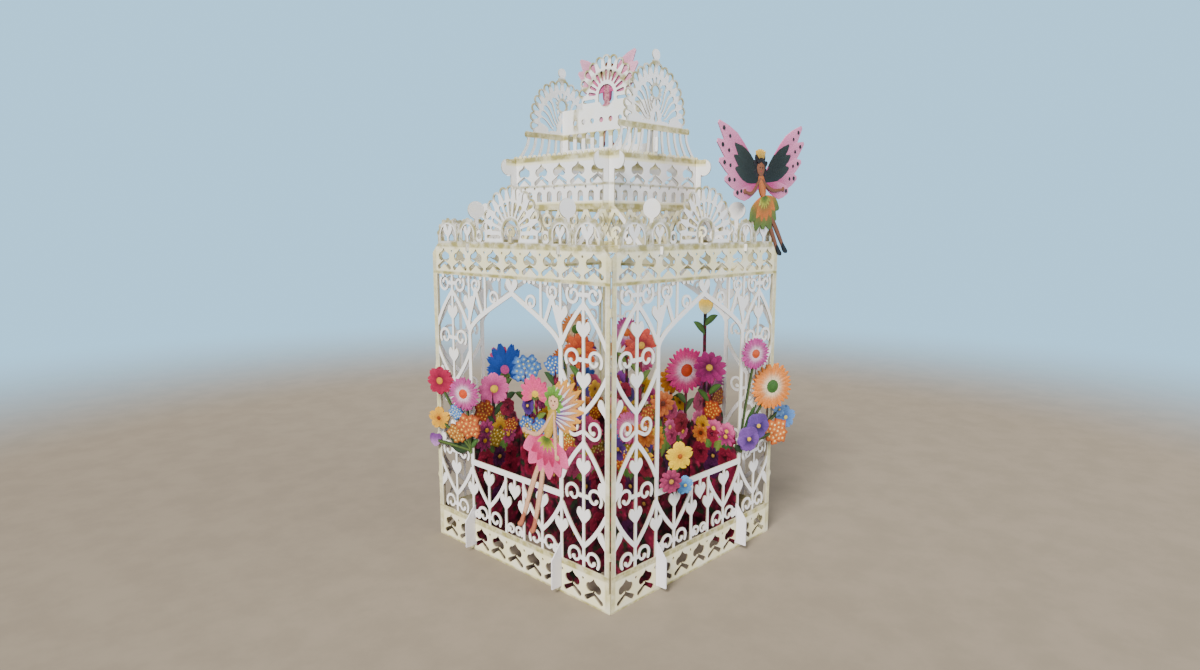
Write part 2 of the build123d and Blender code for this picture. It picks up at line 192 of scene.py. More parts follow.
@dataclass(frozen=True)
class Outline:
    """A closed outline of straight runs."""

    points: np.ndarray

    def bounds(self) -> np.ndarray:
        """Lowest and highest corners of the outline."""
        line = np.asarray(self.points, float)
        return np.stack([line.min(axis=0), line.max(axis=0)])

    def distance(self, x: np.ndarray, z: np.ndarray) -> np.ndarray:
        """Distance to the nearest run, negative where a ray to the right crosses an odd number of runs.

        Args:
            x: Places across, one axis.
            z: Places up, one axis.

        Returns:
            Signed distance on the grid of both axes.
        """
        start = np.asarray(self.points, float)
        run = np.roll(start, -1, axis=0) - start
        dx = x[None, None, :] - start[:, 0, None, None]
        dz = z[None, :, None] - start[:, 1, None, None]
        rx, rz = run[:, 0, None, None], run[:, 1, None, None]
        share = np.clip((dx * rx + dz * rz) / np.maximum(rx**2 + rz**2, 1e-9), 0.0, 1.0)
        near = np.hypot(dx - share * rx, dz - share * rz).min(axis=0)
        spans = (dz >= 0) != (dz >= rz)
        slope = np.where(np.abs(rz) < 1e-9, 1e-9, rz)
        crossed = (spans & (dx < rx * dz / slope)).sum(axis=0) % 2 == 1
        return np.where(crossed, -near, near)


@dataclass(frozen=True)
class Disc:
    """A round or oval spot."""

    x: float
    z: float
    wide: float
    tall: float | None = None

    def bounds(self) -> np.ndarray:
        """Lowest and highest corners of the spot."""
        tall = self.tall or self.wide
        return np.array([[self.x - self.wide, self.z - tall], [self.x + self.wide, self.z + tall]])

    def distance(self, x: np.ndarray, z: np.ndarray) -> np.ndarray:
        """Scaled distance from the centre, less one, times the smaller radius.

        Args:
            x: Places across, one axis.
            z: Places up, one axis.

        Returns:
            Signed distance on the grid of both axes.
        """
        tall = self.tall or self.wide
        scaled = np.hypot((x[None, :] - self.x) / self.wide, (z[:, None] - self.z) / tall)
        return (scaled - 1.0) * min(self.wide, tall)


@dataclass(frozen=True)
class Strip:
    """An upright rectangle between two edges and two levels."""

    left: float
    right: float
    foot: float
    head: float

    def bounds(self) -> np.ndarray:
        """Lowest and highest corners of the rectangle."""
        return np.array([[self.left, self.foot], [self.right, self.head]])

    def distance(self, x: np.ndarray, z: np.ndarray) -> np.ndarray:
        """Larger of the distances past the two pairs of edges, rounded outside the corners.

        Args:
            x: Places across, one axis.
            z: Places up, one axis.

        Returns:
            Signed distance on the grid of both axes.
        """
        dx = np.abs(x[None, :] - (self.left + self.right) / 2) - (self.right - self.left) / 2
        dz = np.abs(z[:, None] - (self.foot + self.head) / 2) - (self.head - self.foot) / 2
        outside = np.hypot(np.maximum(dx, 0.0), np.maximum(dz, 0.0))
        return outside + np.minimum(np.maximum(dx, dz), 0.0)


def strip_between(first: float, second: float, foot: float, head: float) -> Strip:
    """Rectangle between two edges given in either order."""
    return Strip(min(first, second), max(first, second), foot, head)


@dataclass(frozen=True)
class Grown:
    """Another shape made larger all round."""

    shape: Shape
    amount: float

    def bounds(self) -> np.ndarray:
        """Corners of the shape moved outwards."""
        return self.shape.bounds() + np.array([[-self.amount], [self.amount]])

    def distance(self, x: np.ndarray, z: np.ndarray) -> np.ndarray:
        """The shape's own distance, less the growth."""
        return self.shape.distance(x, z) - self.amount


def heart(x: float, z: float, width: float, height: float) -> Outline:
    """Heart about its centre: a deep notch, two full lobes and a point at the foot.

    Args:
        x: Middle across.
        z: Middle up.
        width: Width over the lobes.
        height: Height over the lobes and the point.

    Returns:
        The outline.
    """
    lobe = bezier((0.0, 0.02), (0.10, 0.40), (0.36, 0.75), (0.5, 0.22), 13)
    side = bezier((0.5, 0.22), (0.54, -0.04), (0.20, -0.22), (0.0, -0.5), 11)
    right = np.vstack([lobe, side[1:]])
    left = np.stack([-right[-2:0:-1, 0], right[-2:0:-1, 1]], axis=1)
    return Outline(np.array([x, z]) + np.vstack([right, left]) * np.array([width, height]))


def arch(x: float, foot: float, width: float, head: float) -> Outline:
    """Round-headed outline from its foot to its head."""
    crown = arc(x, head - width / 2, width / 2, 0, 180, 21)
    return Outline(np.vstack([[(x - width / 2, foot), (x + width / 2, foot)], crown]))


def scroll(x: float, z: float, radius: float, start: float, turn: float, width: float = 1.3) -> list[Shape]:
    """Open curl: an even rim for half of its turn, then an inward curl to a round eye.

    Args:
        x: Middle across.
        z: Middle up.
        radius: Radius over the rim.
        start: Direction of its start in degrees.
        turn: How far it turns in degrees, below nought for clockwise.
        width: Width of the rim.

    Returns:
        The curl and its eye.
    """
    share = np.linspace(0.0, 1.0, 34)
    angle = np.radians(start + turn * share)
    inward = np.clip((share - 0.46) / 0.54, 0.0, 1.0) ** 1.25
    reach = (radius - width / 2) * (1 - 0.7 * inward)
    line = np.stack([x + reach * np.cos(angle), z + reach * np.sin(angle)], axis=1)
    eye = Disc(line[-1, 0], line[-1, 1], 0.64 * width)
    return [Stroke(line, width, 0.72 * width), eye]


def spade_cut(x: float, foot: float, width: float, height: float) -> list[Shape]:
    """Spade cut-out: a hollow-sided point, two round lobes, a neck and two splayed feet.

    Args:
        x: Middle across.
        foot: Level of its foot.
        width: Width that lobes and feet are shares of.
        height: Height of its point above the foot.

    Returns:
        Shapes to cut out.
    """
    lobe = 0.235 * width
    belly = foot + 0.58 * height
    point = bezier((x + 0.45 * width, belly + 0.05 * height), (x + 0.32 * width, belly + 0.19 * height),
                   (x + 0.06 * width, belly + 0.25 * height), (x, foot + height), 9)
    mirror = np.stack([2 * x - point[::-1, 0], point[::-1, 1]], axis=1)
    spade: list[Shape] = [Outline(np.vstack([point, mirror[1:]]))]
    for side in (-1, 1):
        spade.append(Disc(x + side * 0.235 * width, belly, lobe, 0.92 * lobe))
        knee = (x + side * 0.22 * width, foot + 0.22 * height)
        toe = (x + side * 0.46 * width, foot + 0.08 * height)
        leg = bezier((x, foot + 0.34 * height), knee, knee, toe, 7)
        spade.append(Stroke(leg, 0.17 * width, 0.24 * width))
    spade.append(Stroke(np.array([(x, foot + 0.34 * height), (x, belly)]), 0.1 * width))
    return spade


@dataclass
class CutSheet:
    """A die-cut outline, kept as a signed distance on an even grid, negative in the card."""

    left: float
    right: float
    foot: float
    head: float
    step: float = 0.2
    margin: float = 1.0

    def __post_init__(self) -> None:
        """Lays out the grid, even about the middle where the sheet is."""
        count = int(round((self.right - self.left + 2 * self.margin) / self.step / 2)) * 2 + 1
        middle = (self.left + self.right) / 2
        self.x = middle + (np.arange(count) - count // 2) * self.step
        self.z = np.arange(self.foot - self.margin, self.head + self.margin, self.step)
        self.field = np.full((len(self.z), len(self.x)), 9.0)

    def _spot(self, shape: Shape, reach: float = 0.9) -> tuple[slice, slice]:
        """Rows and columns of the grid that a shape reaches.

        Args:
            shape: Shape to find.
            reach: Margin round it.

        Returns:
            Slices of the rows and of the columns.
        """
        low, high = shape.bounds()
        across = np.searchsorted(self.x, (low[0] - reach, high[0] + reach))
        up = np.searchsorted(self.z, (low[1] - reach, high[1] + reach))
        return slice(*up), slice(*across)

    def add(self, shapes: Iterable[Shape], blend: float = 0.0) -> None:
        """Joins shapes to the card, with rounded inner corners where they blend.

        Args:
            shapes: What to join.
            blend: Size of the rounding where a shape meets the card.
        """
        for shape in shapes:
            spot = self._spot(shape)
            here = self.field[spot]
            if here.size == 0:
                continue
            new = shape.distance(self.x[spot[1]], self.z[spot[0]])
            low = np.minimum(here, new)
            if blend:
                near = np.maximum(blend - np.abs(here - new), 0.0) / blend
                low = low - near**2 * blend / 4
            self.field[spot] = low

    def cut(self, shapes: Iterable[Shape]) -> None:
        """Takes shapes out of the card.

        Args:
            shapes: What to take out.
        """
        for shape in shapes:
            spot = self._spot(shape)
            if self.field[spot].size:
                hole = shape.distance(self.x[spot[1]], self.z[spot[0]])
                self.field[spot] = np.maximum(self.field[spot], -hole)

    def mirror(self) -> None:
        """Copies the right half over the left."""
        half = self.field.shape[1] // 2
        self.field[:, :half] = self.field[:, ::-1][:, :half]

    def copy(self) -> "CutSheet":
        """A second sheet with the same outline.

        Returns:
            The second sheet.
        """
        twin = CutSheet(self.left, self.right, self.foot, self.head, self.step, self.margin)
        twin.field = self.field.copy()
        return twin

    def _crossings(self) -> tuple[np.ndarray, np.ndarray]:
        """Where the outline crosses the grid lines, and which crossing follows which.

        In each grid square the outline runs between two sides, with the card on its left, and the
        place on a side is found by a straight line between its two distances.

        Returns:
            Crossing points, and the index of the next crossing after each.
        """
        f = self.field
        inside = f < 0
        level, upright = inside[:, :-1] != inside[:, 1:], inside[:-1] != inside[1:]
        level_id, upright_id = np.full(level.shape, -1), np.full(upright.shape, -1)
        level_id[level] = np.arange(level.sum())
        upright_id[upright] = level.sum() + np.arange(upright.sum())
        j, i = np.nonzero(level)
        share = f[j, i] / (f[j, i] - f[j, i + 1])
        first = np.stack([self.x[i] + share * self.step, self.z[j]], axis=1)
        j, i = np.nonzero(upright)
        share = f[j, i] / (f[j, i] - f[j + 1, i])
        second = np.stack([self.x[i], self.z[j] + share * self.step], axis=1)
        code = inside[:-1, :-1] + 2 * inside[:-1, 1:] + 4 * inside[1:, 1:] + 8 * inside[1:, :-1]
        side = {"bottom": level_id[:-1], "top": level_id[1:],
                "left": upright_id[:, :-1], "right": upright_id[:, 1:]}
        runs = {
            1: ["bottom left"], 2: ["right bottom"], 3: ["right left"], 4: ["top right"],
            5: ["bottom left", "top right"], 6: ["top bottom"], 7: ["top left"], 8: ["left top"],
            9: ["bottom top"], 10: ["right bottom", "left top"], 11: ["right top"],
            12: ["left right"], 13: ["bottom right"], 14: ["left bottom"],
        }
        following = np.full(int(level.sum() + upright.sum()), -1)
        for kind, pairs in runs.items():
            square = code == kind
            for pair in pairs:
                start, end = pair.split()
                following[side[start][square]] = side[end][square]
        return np.vstack([first, second]), following

    def outline(self, tolerance: float = 0.012, longest: float = 5.0) -> tuple[np.ndarray, np.ndarray]:
        """Outline points with the needless ones left out.

        Args:
            tolerance: How far a dropped point may be from the run that replaces it.
            longest: Longest run that may replace two.

        Returns:
            Points, and the pairs of them that each run joins.
        """
        points, following = self._crossings()
        count = len(points)
        leading = np.empty(count, int)
        leading[following] = np.arange(count)
        alive = np.ones(count, bool)
        draw = np.random.default_rng(7)
        for _ in range(16):
            before, after = points[leading], points[following]
            run = after - before
            length = np.hypot(run[:, 0], run[:, 1])
            off = points - before
            away = np.abs(run[:, 0] * off[:, 1] - run[:, 1] * off[:, 0]) / np.maximum(length, 1e-9)
            spare = alive & (away < tolerance) & (length < longest) & (length > 1e-6)
            rank = np.where(spare, draw.random(count), 2.0)
            drop = spare & (rank < rank[leading]) & (rank < rank[following])
            following[leading[drop]] = following[drop]
            leading[following[drop]] = leading[drop]
            alive &= ~drop
        number = np.cumsum(alive) - 1
        runs = np.stack([number[alive], number[following[alive]]], axis=1)
        return points[alive], runs

    @staticmethod
    def _in_card(faces: np.ndarray, runs: np.ndarray, count: int) -> np.ndarray:
        """Tells which triangles are card.

        A triangle on the left of an outline run is card and one on the right is not. The rest take
        after their neighbours across edges that are no part of the outline.

        Args:
            faces: Triangles that fill the outline's hull.
            runs: Outline runs, with the card on their left.
            count: Number of points.

        Returns:
            True for each triangle of card.
        """
        after = np.roll(faces, -1, axis=1)
        edge, back = (faces * count + after).ravel(), (after * count + faces).ravel()
        outline = runs[:, 0] * count + runs[:, 1]
        along, against = np.isin(edge, outline), np.isin(back, outline)
        level = along.reshape(-1, 3).any(axis=1).astype(int) - against.reshape(-1, 3).any(axis=1)
        order = np.argsort(edge)
        twin = order[np.minimum(np.searchsorted(edge[order], back), len(edge) - 1)]
        joined = (edge[twin] == back) & ~along & ~against
        neighbour = np.where(joined, twin // 3, -1).reshape(-1, 3)
        for _ in range(len(faces)):
            near = np.where(neighbour >= 0, level[neighbour], 0).sum(axis=1)
            spread = np.where(level == 0, np.sign(near), level)
            if np.array_equal(spread, level):
                break
            level = spread
        return level > 0

    def triangles(self) -> tuple[np.ndarray, np.ndarray, np.ndarray]:
        """Fills the outline with triangles.

        Returns:
            Points, outline runs, and triangles wound to face the viewer.
        """
        points, runs = self.outline()
        filled = delaunay_2d_cdt([Vector(p) for p in points], runs.tolist(), [], 0, 1e-7)
        places = np.array([tuple(v) for v in filled[0]])
        faces = np.array(filled[2])
        return places, runs, faces[self._in_card(faces, runs, len(places))]


@dataclass(frozen=True)
class SheetPlane:
    """Where a sheet stands: the side it faces and how far its middle layer is from the card's axis."""

    side: Side
    distance: float

    def place(self, x: np.ndarray, z: np.ndarray, depth: np.ndarray) -> np.ndarray:
        """Carries places on the sheet into the card's frame.

        Args:
            x: Places across, seen from outside.
            z: Places up.
            depth: Places outwards from the sheet's middle layer.

        Returns:
            Points in metres, one row each.
        """
        angle = math.radians(self.side.value)
        along = np.array([math.cos(angle), math.sin(angle), 0.0])
        outward = np.array([math.sin(angle), -math.cos(angle), 0.0])
        out = (self.distance + np.ravel(depth))[:, None] * outward
        up = np.ravel(z)[:, None] * np.array([0.0, 0.0, 1.0])
        return (np.ravel(x)[:, None] * along + up + out) * MM


@dataclass
class CardMesh:
    """All the triangles of one piece, gathered as whole arrays."""

    places: list[np.ndarray] = field(default_factory=list)
    faces: list[np.ndarray] = field(default_factory=list)
    spread: list[np.ndarray] = field(default_factory=list)
    inks: list[np.ndarray] = field(default_factory=list)
    cut_edge: list[np.ndarray] = field(default_factory=list)
    finish: list[np.ndarray] = field(default_factory=list)
    count: int = 0

    def add(self, places: np.ndarray, faces: np.ndarray, spread: np.ndarray, inks: np.ndarray,
            cut_edge: np.ndarray, finish: int) -> None:
        """Takes in one batch of triangles.

        Args:
            places: Points in metres.
            faces: Triangles of these points.
            spread: Flat place of each point on its sheet.
            inks: Printed colour of each point.
            cut_edge: One for a triangle on a cut edge, nought on a printed face.
            finish: Number of the finish that the triangles take.
        """
        self.places.append(places)
        self.faces.append(faces + self.count)
        self.spread.append(spread)
        self.inks.append(inks)
        self.cut_edge.append(cut_edge.astype(float))
        self.finish.append(np.full(len(faces), finish))
        self.count += len(places)

    def add_sheet(self, sheet: CutSheet, plane: SheetPlane, finish: int = 0, thick: float = CARD) -> None:
        """Gives a die-cut outline its thickness: two faces, and a band along each cut edge.

        Args:
            sheet: Outline to fill.
            plane: Where it stands.
            finish: Number of its finish.
            thick: Thickness of the card.
        """
        points, runs, front = sheet.triangles()
        count = len(points)
        x, z = np.tile(points[:, 0], 2), np.tile(points[:, 1], 2)
        depth = np.repeat([thick / 2, -thick / 2], count)
        start, end = runs[:, 0], runs[:, 1]
        band = np.vstack([np.stack([start, start + count, end + count], axis=1),
                          np.stack([start, end + count, end], axis=1)])
        faces = np.vstack([front, front[:, ::-1] + count, band])
        edge = np.repeat([0, 1], [2 * len(front), len(band)])
        spread, inks = np.stack([x, z], axis=1), np.ones((2 * count, 3))
        self.add(plane.place(x, z, depth), faces, spread, inks, edge, finish)

    def add_pillows(self, x: np.ndarray, z: np.ndarray, height: np.ndarray, colour: np.ndarray,
                    plane: SheetPlane, back: np.ndarray | None = None, finish: int = 1) -> None:
        """Adds raised patches of print, each a grid with a front, a back and a rim.

        Args:
            x: Places across, patches by rows by columns.
            z: Places up, likewise.
            height: Height of the front above the sheet's middle layer, likewise.
            colour: Printed colour, likewise with three values.
            plane: Where the sheet stands.
            back: Depth of the back, likewise, where it doesn't mirror the front.
            finish: Number of the finish.
        """
        patches, rows, columns = x.shape
        back = -height if back is None else back
        size = rows * columns
        index = np.arange(size).reshape(rows, columns)
        a, b, c, d = index[:-1, :-1], index[1:, :-1], index[1:, 1:], index[:-1, 1:]
        front = np.vstack([np.stack([k.ravel() for k in t], axis=1) for t in ((a, b, c), (a, c, d))])
        rim = np.concatenate([index[:-1, 0], index[-1, :-1], index[:0:-1, -1], index[0, :0:-1]])
        after = np.roll(rim, -1)
        band = np.vstack([np.stack([rim, rim + size, after + size], axis=1),
                          np.stack([rim, after + size, after], axis=1)])
        one = np.vstack([front, front[:, ::-1] + size, band])
        faces = (one[None] + (np.arange(patches) * 2 * size)[:, None, None]).reshape(-1, 3)
        across, up = (np.concatenate([v.reshape(patches, size)] * 2, axis=1).ravel() for v in (x, z))
        depth = np.concatenate([height.reshape(patches, size), back.reshape(patches, size)], axis=1)
        inks = np.concatenate([colour.reshape(patches, size, 3)] * 2, axis=1).reshape(-1, 3)
        spread = np.stack([across, up], axis=1)
        self.add(plane.place(across, up, depth), faces, spread, inks, np.zeros(len(faces)), finish)

    def build(self, name: str, finishes: Sequence[bpy.types.Material]) -> bpy.types.Object:
        """Makes the Blender object.

        Args:
            name: Name of the piece.
            finishes: Materials, in the order of the finish numbers.

        Returns:
            The object, linked to the scene.
        """
        places, faces = np.vstack(self.places), np.vstack(self.faces)
        mesh = bpy.data.meshes.new(name)
        mesh.vertices.add(len(places))
        mesh.vertices.foreach_set("co", places.ravel())
        mesh.loops.add(faces.size)
        mesh.loops.foreach_set("vertex_index", faces.ravel())
        mesh.polygons.add(len(faces))
        mesh.polygons.foreach_set("loop_start", np.arange(len(faces)) * 3)
        mesh.polygons.foreach_set("material_index", np.concatenate(self.finish))
        mesh.update(calc_edges=True)
        layer = mesh.uv_layers.new(name="sheet")
        layer.data.foreach_set("uv", np.vstack(self.spread)[faces.ravel()].ravel())
        inks = np.vstack(self.inks)
        tint = mesh.color_attributes.new("print", "FLOAT_COLOR", "POINT")
        tint.data.foreach_set("color", np.hstack([inks, np.ones((len(inks), 1))]).ravel())
        edge = mesh.attributes.new("cut_edge", "FLOAT", "FACE")
        edge.data.foreach_set("value", np.concatenate(self.cut_edge))
        mesh.shade_smooth()
        mesh.set_sharp_from_angle(angle=math.radians(42))
        for finish in finishes:
            mesh.materials.append(finish)
        piece = bpy.data.objects.new(name, mesh)
        bpy.context.scene.collection.objects.link(piece)
        return piece


@dataclass(frozen=True)
class Bend:
    """How a flower head is bent out of its sheet, about an upright line through its middle.

    A bend above nought brings the right-hand half outwards, so that the head looks to the left.
    """

    x: float
    angle: float
    out: float

    def swing(self, x: np.ndarray) -> np.ndarray:
        """How far outwards the bend carries places across."""
        return self.out + (x - self.x) * math.sin(math.radians(self.angle))

    def across(self, x: np.ndarray) -> np.ndarray:
        """Where the bend carries places across."""
        return self.x + (x - self.x) * math.cos(math.radians(self.angle))


@dataclass
class Printer:
    """Prints raised flowers, leaves and figures on one sheet."""

    mesh: CardMesh
    plane: SheetPlane
    seed: int
    flat_back: bool = False
    base: float = CARD / 2 + 0.05
    bend: Bend | None = None
    coarse: bool = False

    def __post_init__(self) -> None:
        """Starts the sheet's own run of random draws."""
        self.draw = np.random.default_rng(self.seed)

    def _press(self, x: np.ndarray, z: np.ndarray, height: np.ndarray, colour: np.ndarray,
               rise: np.ndarray | float = 0.0) -> None:
        """Adds patches, bent out of the sheet where the head is.

        On a glued sheet the backs of flat patches lie within the card, the lowest outermost.

        Args:
            x: Places across, patches by rows by columns.
            z: Places up, likewise.
            height: Height of the front, likewise.
            colour: Printed colour, likewise with three values.
            rise: How far the whole patch stands off the sheet.
        """
        glued = self.flat_back and self.bend is None
        back = 0.1 * (height - self.base) - 0.8 * CARD / 2 if glued else -height
        if self.bend:
            rise = self.bend.swing(x)
            x = self.bend.across(x)
        self.mesh.add_pillows(x, z, height + rise, np.clip(colour, 0.0, 1.0), self.plane, back + rise)

    def petals(self, x: float, z: float, angles: np.ndarray, inner: float, outer: np.ndarray,
               half_width: float, root: np.ndarray, tip: np.ndarray, lift: float = 0.0,
               notch: float = 0.0, belly: float = 0.62, shift: float = 0.5, point: float = 0.0,
               grid: tuple = (7, 5)) -> None:
        """Ring of petals about a point.

        A petal runs out along its angle. Its half width grows as a sine to the belly and rounds off
        beyond it, it is highest along its middle, and one long edge sits higher, over its neighbour.

        Args:
            x: Middle of the ring, across.
            z: Middle of the ring, up.
            angles: Direction of each petal in degrees.
            inner: Radius at the petals' roots.
            outer: Radius at the tip of each petal.
            half_width: Half width at the belly.
            root: Colour at the root.
            tip: Colour at the tip.
            lift: Height added to the ring.
            notch: Depth of the notch in the tip, as a share of the length.
            belly: Place of the widest part, as a share of the length.
            shift: Place where the colours are mixed half and half.
            point: How far the round tip is drawn to a point, from nought to one.
            grid: Rows along a petal and columns across it.
        """
        angles = np.atleast_1d(np.asarray(angles, float))
        outer = np.broadcast_to(np.asarray(outer, float), angles.shape)
        rows, columns = (5, 3) if self.coarse else grid
        s = np.linspace(0.0, 1.0, rows)[None, :, None]
        t = np.linspace(-1.0, 1.0, columns)[None, None, :]
        rise = np.sin(0.5 * np.pi * np.minimum(s / belly, 1.0))
        past = np.clip((s - belly) / (1 - belly), 0.0, 1.0)
        fall = (1 - point) * np.sqrt(1 - 0.93 * past**2) + point * (1 - 0.9 * past)
        wide = half_width * (0.2 + 0.8 * rise) * fall
        reach = outer[:, None, None] - inner
        along = inner + reach * (s - notch * s**4 * (1 - np.abs(t)) ** 2)
        side = wide * t * np.ones_like(reach)
        turn = np.radians(angles)[:, None, None]
        px = x + along * np.cos(turn) - side * np.sin(turn)
        pz = z + along * np.sin(turn) + side * np.cos(turn)
        dome = 0.16 * (1 - t**2) * np.sin(np.pi * (0.08 + 0.84 * s))
        height = self.base + lift + dome + 0.05 * t + np.zeros_like(px)
        mixed = 1 / (1 + np.exp(-9 * (s - shift)))
        streak = 1 - 0.22 * np.cos(2.5 * np.pi * t) ** 2 * (1 - 0.5 * s)
        shade = self.draw.uniform(0.86, 1.1, len(angles))[:, None, None]
        tone = (streak * shade * np.ones_like(px))[..., None]
        colour = root * (1 - mixed[..., None]) + tip * mixed[..., None]
        self._press(px, pz, height, colour * tone)

    def buttons(self, x: np.ndarray, z: np.ndarray, radius: np.ndarray, middle: np.ndarray,
                rim: np.ndarray, lift: float = 0.0, tall: float = 1.0, dome: float = 0.2,
                lobes: int = 0, grid: int = 5) -> None:
        """Round domed spots: a square grid drawn out to a disc, highest in the middle.

        Args:
            x: Middles, across.
            z: Middles, up.
            radius: Radius of each.
            middle: Colour in the middle.
            rim: Colour at the rim.
            lift: Height added.
            tall: Height of the oval as a share of its width.
            dome: Height of the middle above the rim.
            lobes: Lobes round the rim, or nought for a plain rim.
            grid: Rows and columns of the grid.
        """
        x, z = np.atleast_1d(x).astype(float), np.atleast_1d(z).astype(float)
        radius = np.broadcast_to(np.asarray(radius, float), x.shape)[:, None, None]
        spots = np.linspace(-1.0, 1.0, min(grid, 4) if self.coarse else grid)
        u, v = np.meshgrid(spots, spots, indexing="ij")
        du, dv = u * np.sqrt(1 - v**2 / 2), v * np.sqrt(1 - u**2 / 2)
        far = np.minimum(du**2 + dv**2, 1.0)
        turn = self.draw.uniform(0.0, np.pi, len(x))[:, None, None] if lobes else np.zeros((len(x), 1, 1))
        wave = 1 + (0.24 * far * np.cos(lobes * np.arctan2(dv, du)) if lobes else 0.0)
        px = x[:, None, None] + radius * wave * (du * np.cos(turn) - dv * np.sin(turn))
        pz = z[:, None, None] + radius * wave * (du * np.sin(turn) + dv * np.cos(turn)) * tall
        height = self.base + lift + dome * (1 - far) + np.zeros_like(px)
        share = far[None, ..., None] * np.ones(px.shape + (1,))
        tone = self.draw.uniform(0.85, 1.12, len(x))[:, None, None, None]
        self._press(px, pz, height, (middle * (1 - share) + rim * share) * tone)

    def blade(self, line: np.ndarray, half_width: float, middle: np.ndarray, rim: np.ndarray,
              lift: float = 0.0, blunt: float = 0.06, power: float = 0.8, rise: float = 0.0) -> None:
        """Leaf, limb or sash along a line: half width as a sine of the share of its length.

        Args:
            line: Points along the middle.
            half_width: Half width at the widest.
            middle: Colour along the middle.
            rim: Colour along the edges.
            lift: Height added.
            blunt: Least half width, as a share of the widest.
            power: Power of the sine; small for an even limb, one for a leaf.
            rise: How far the far end stands off the sheet.
        """
        line = np.asarray(line, float)
        rows = len(line)
        s = np.linspace(0.0, 1.0, rows)[:, None]
        t = np.linspace(-1.0, 1.0, 5)[None, :]
        tangent = np.gradient(line, axis=0)
        tangent /= np.linalg.norm(tangent, axis=1, keepdims=True)
        wide = half_width * (blunt + (1 - blunt) * np.sin(np.pi * s) ** power)
        px = line[:, :1] - tangent[:, 1:] * wide * t
        pz = line[:, 1:] + tangent[:, :1] * wide * t
        height = self.base + lift + 0.12 * (1 - np.abs(t)) + np.zeros_like(px)
        share = (np.abs(t) * np.ones_like(px))[..., None]
        colour = middle * (1 - share) + rim * share
        self._press(px[None], pz[None], height[None], colour[None], rise * (s**2)[None])

    def leaf(self, root: Sequence, tip: Sequence, half_width: float, green: str, bend: float) -> None:
        """Pointed leaf that curves between its root and its tip, lighter along the midrib.

        Args:
            root: Where the leaf starts.
            tip: Where it ends.
            half_width: Half width at the widest.
            green: Ink of the leaf.
            bend: How far it bows to the left, as a share of its length.
        """
        root, tip = np.asarray(root, float), np.asarray(tip, float)
        run = tip - root
        guide = root + run * 0.5 + bend * np.array([-run[1], run[0]])
        line = bezier(root, root + (guide - root) * 0.7, tip + (guide - tip) * 0.7, tip, 10)
        self.blade(line, half_width, ink(green) * 1.7, ink(green), lift=-0.03)


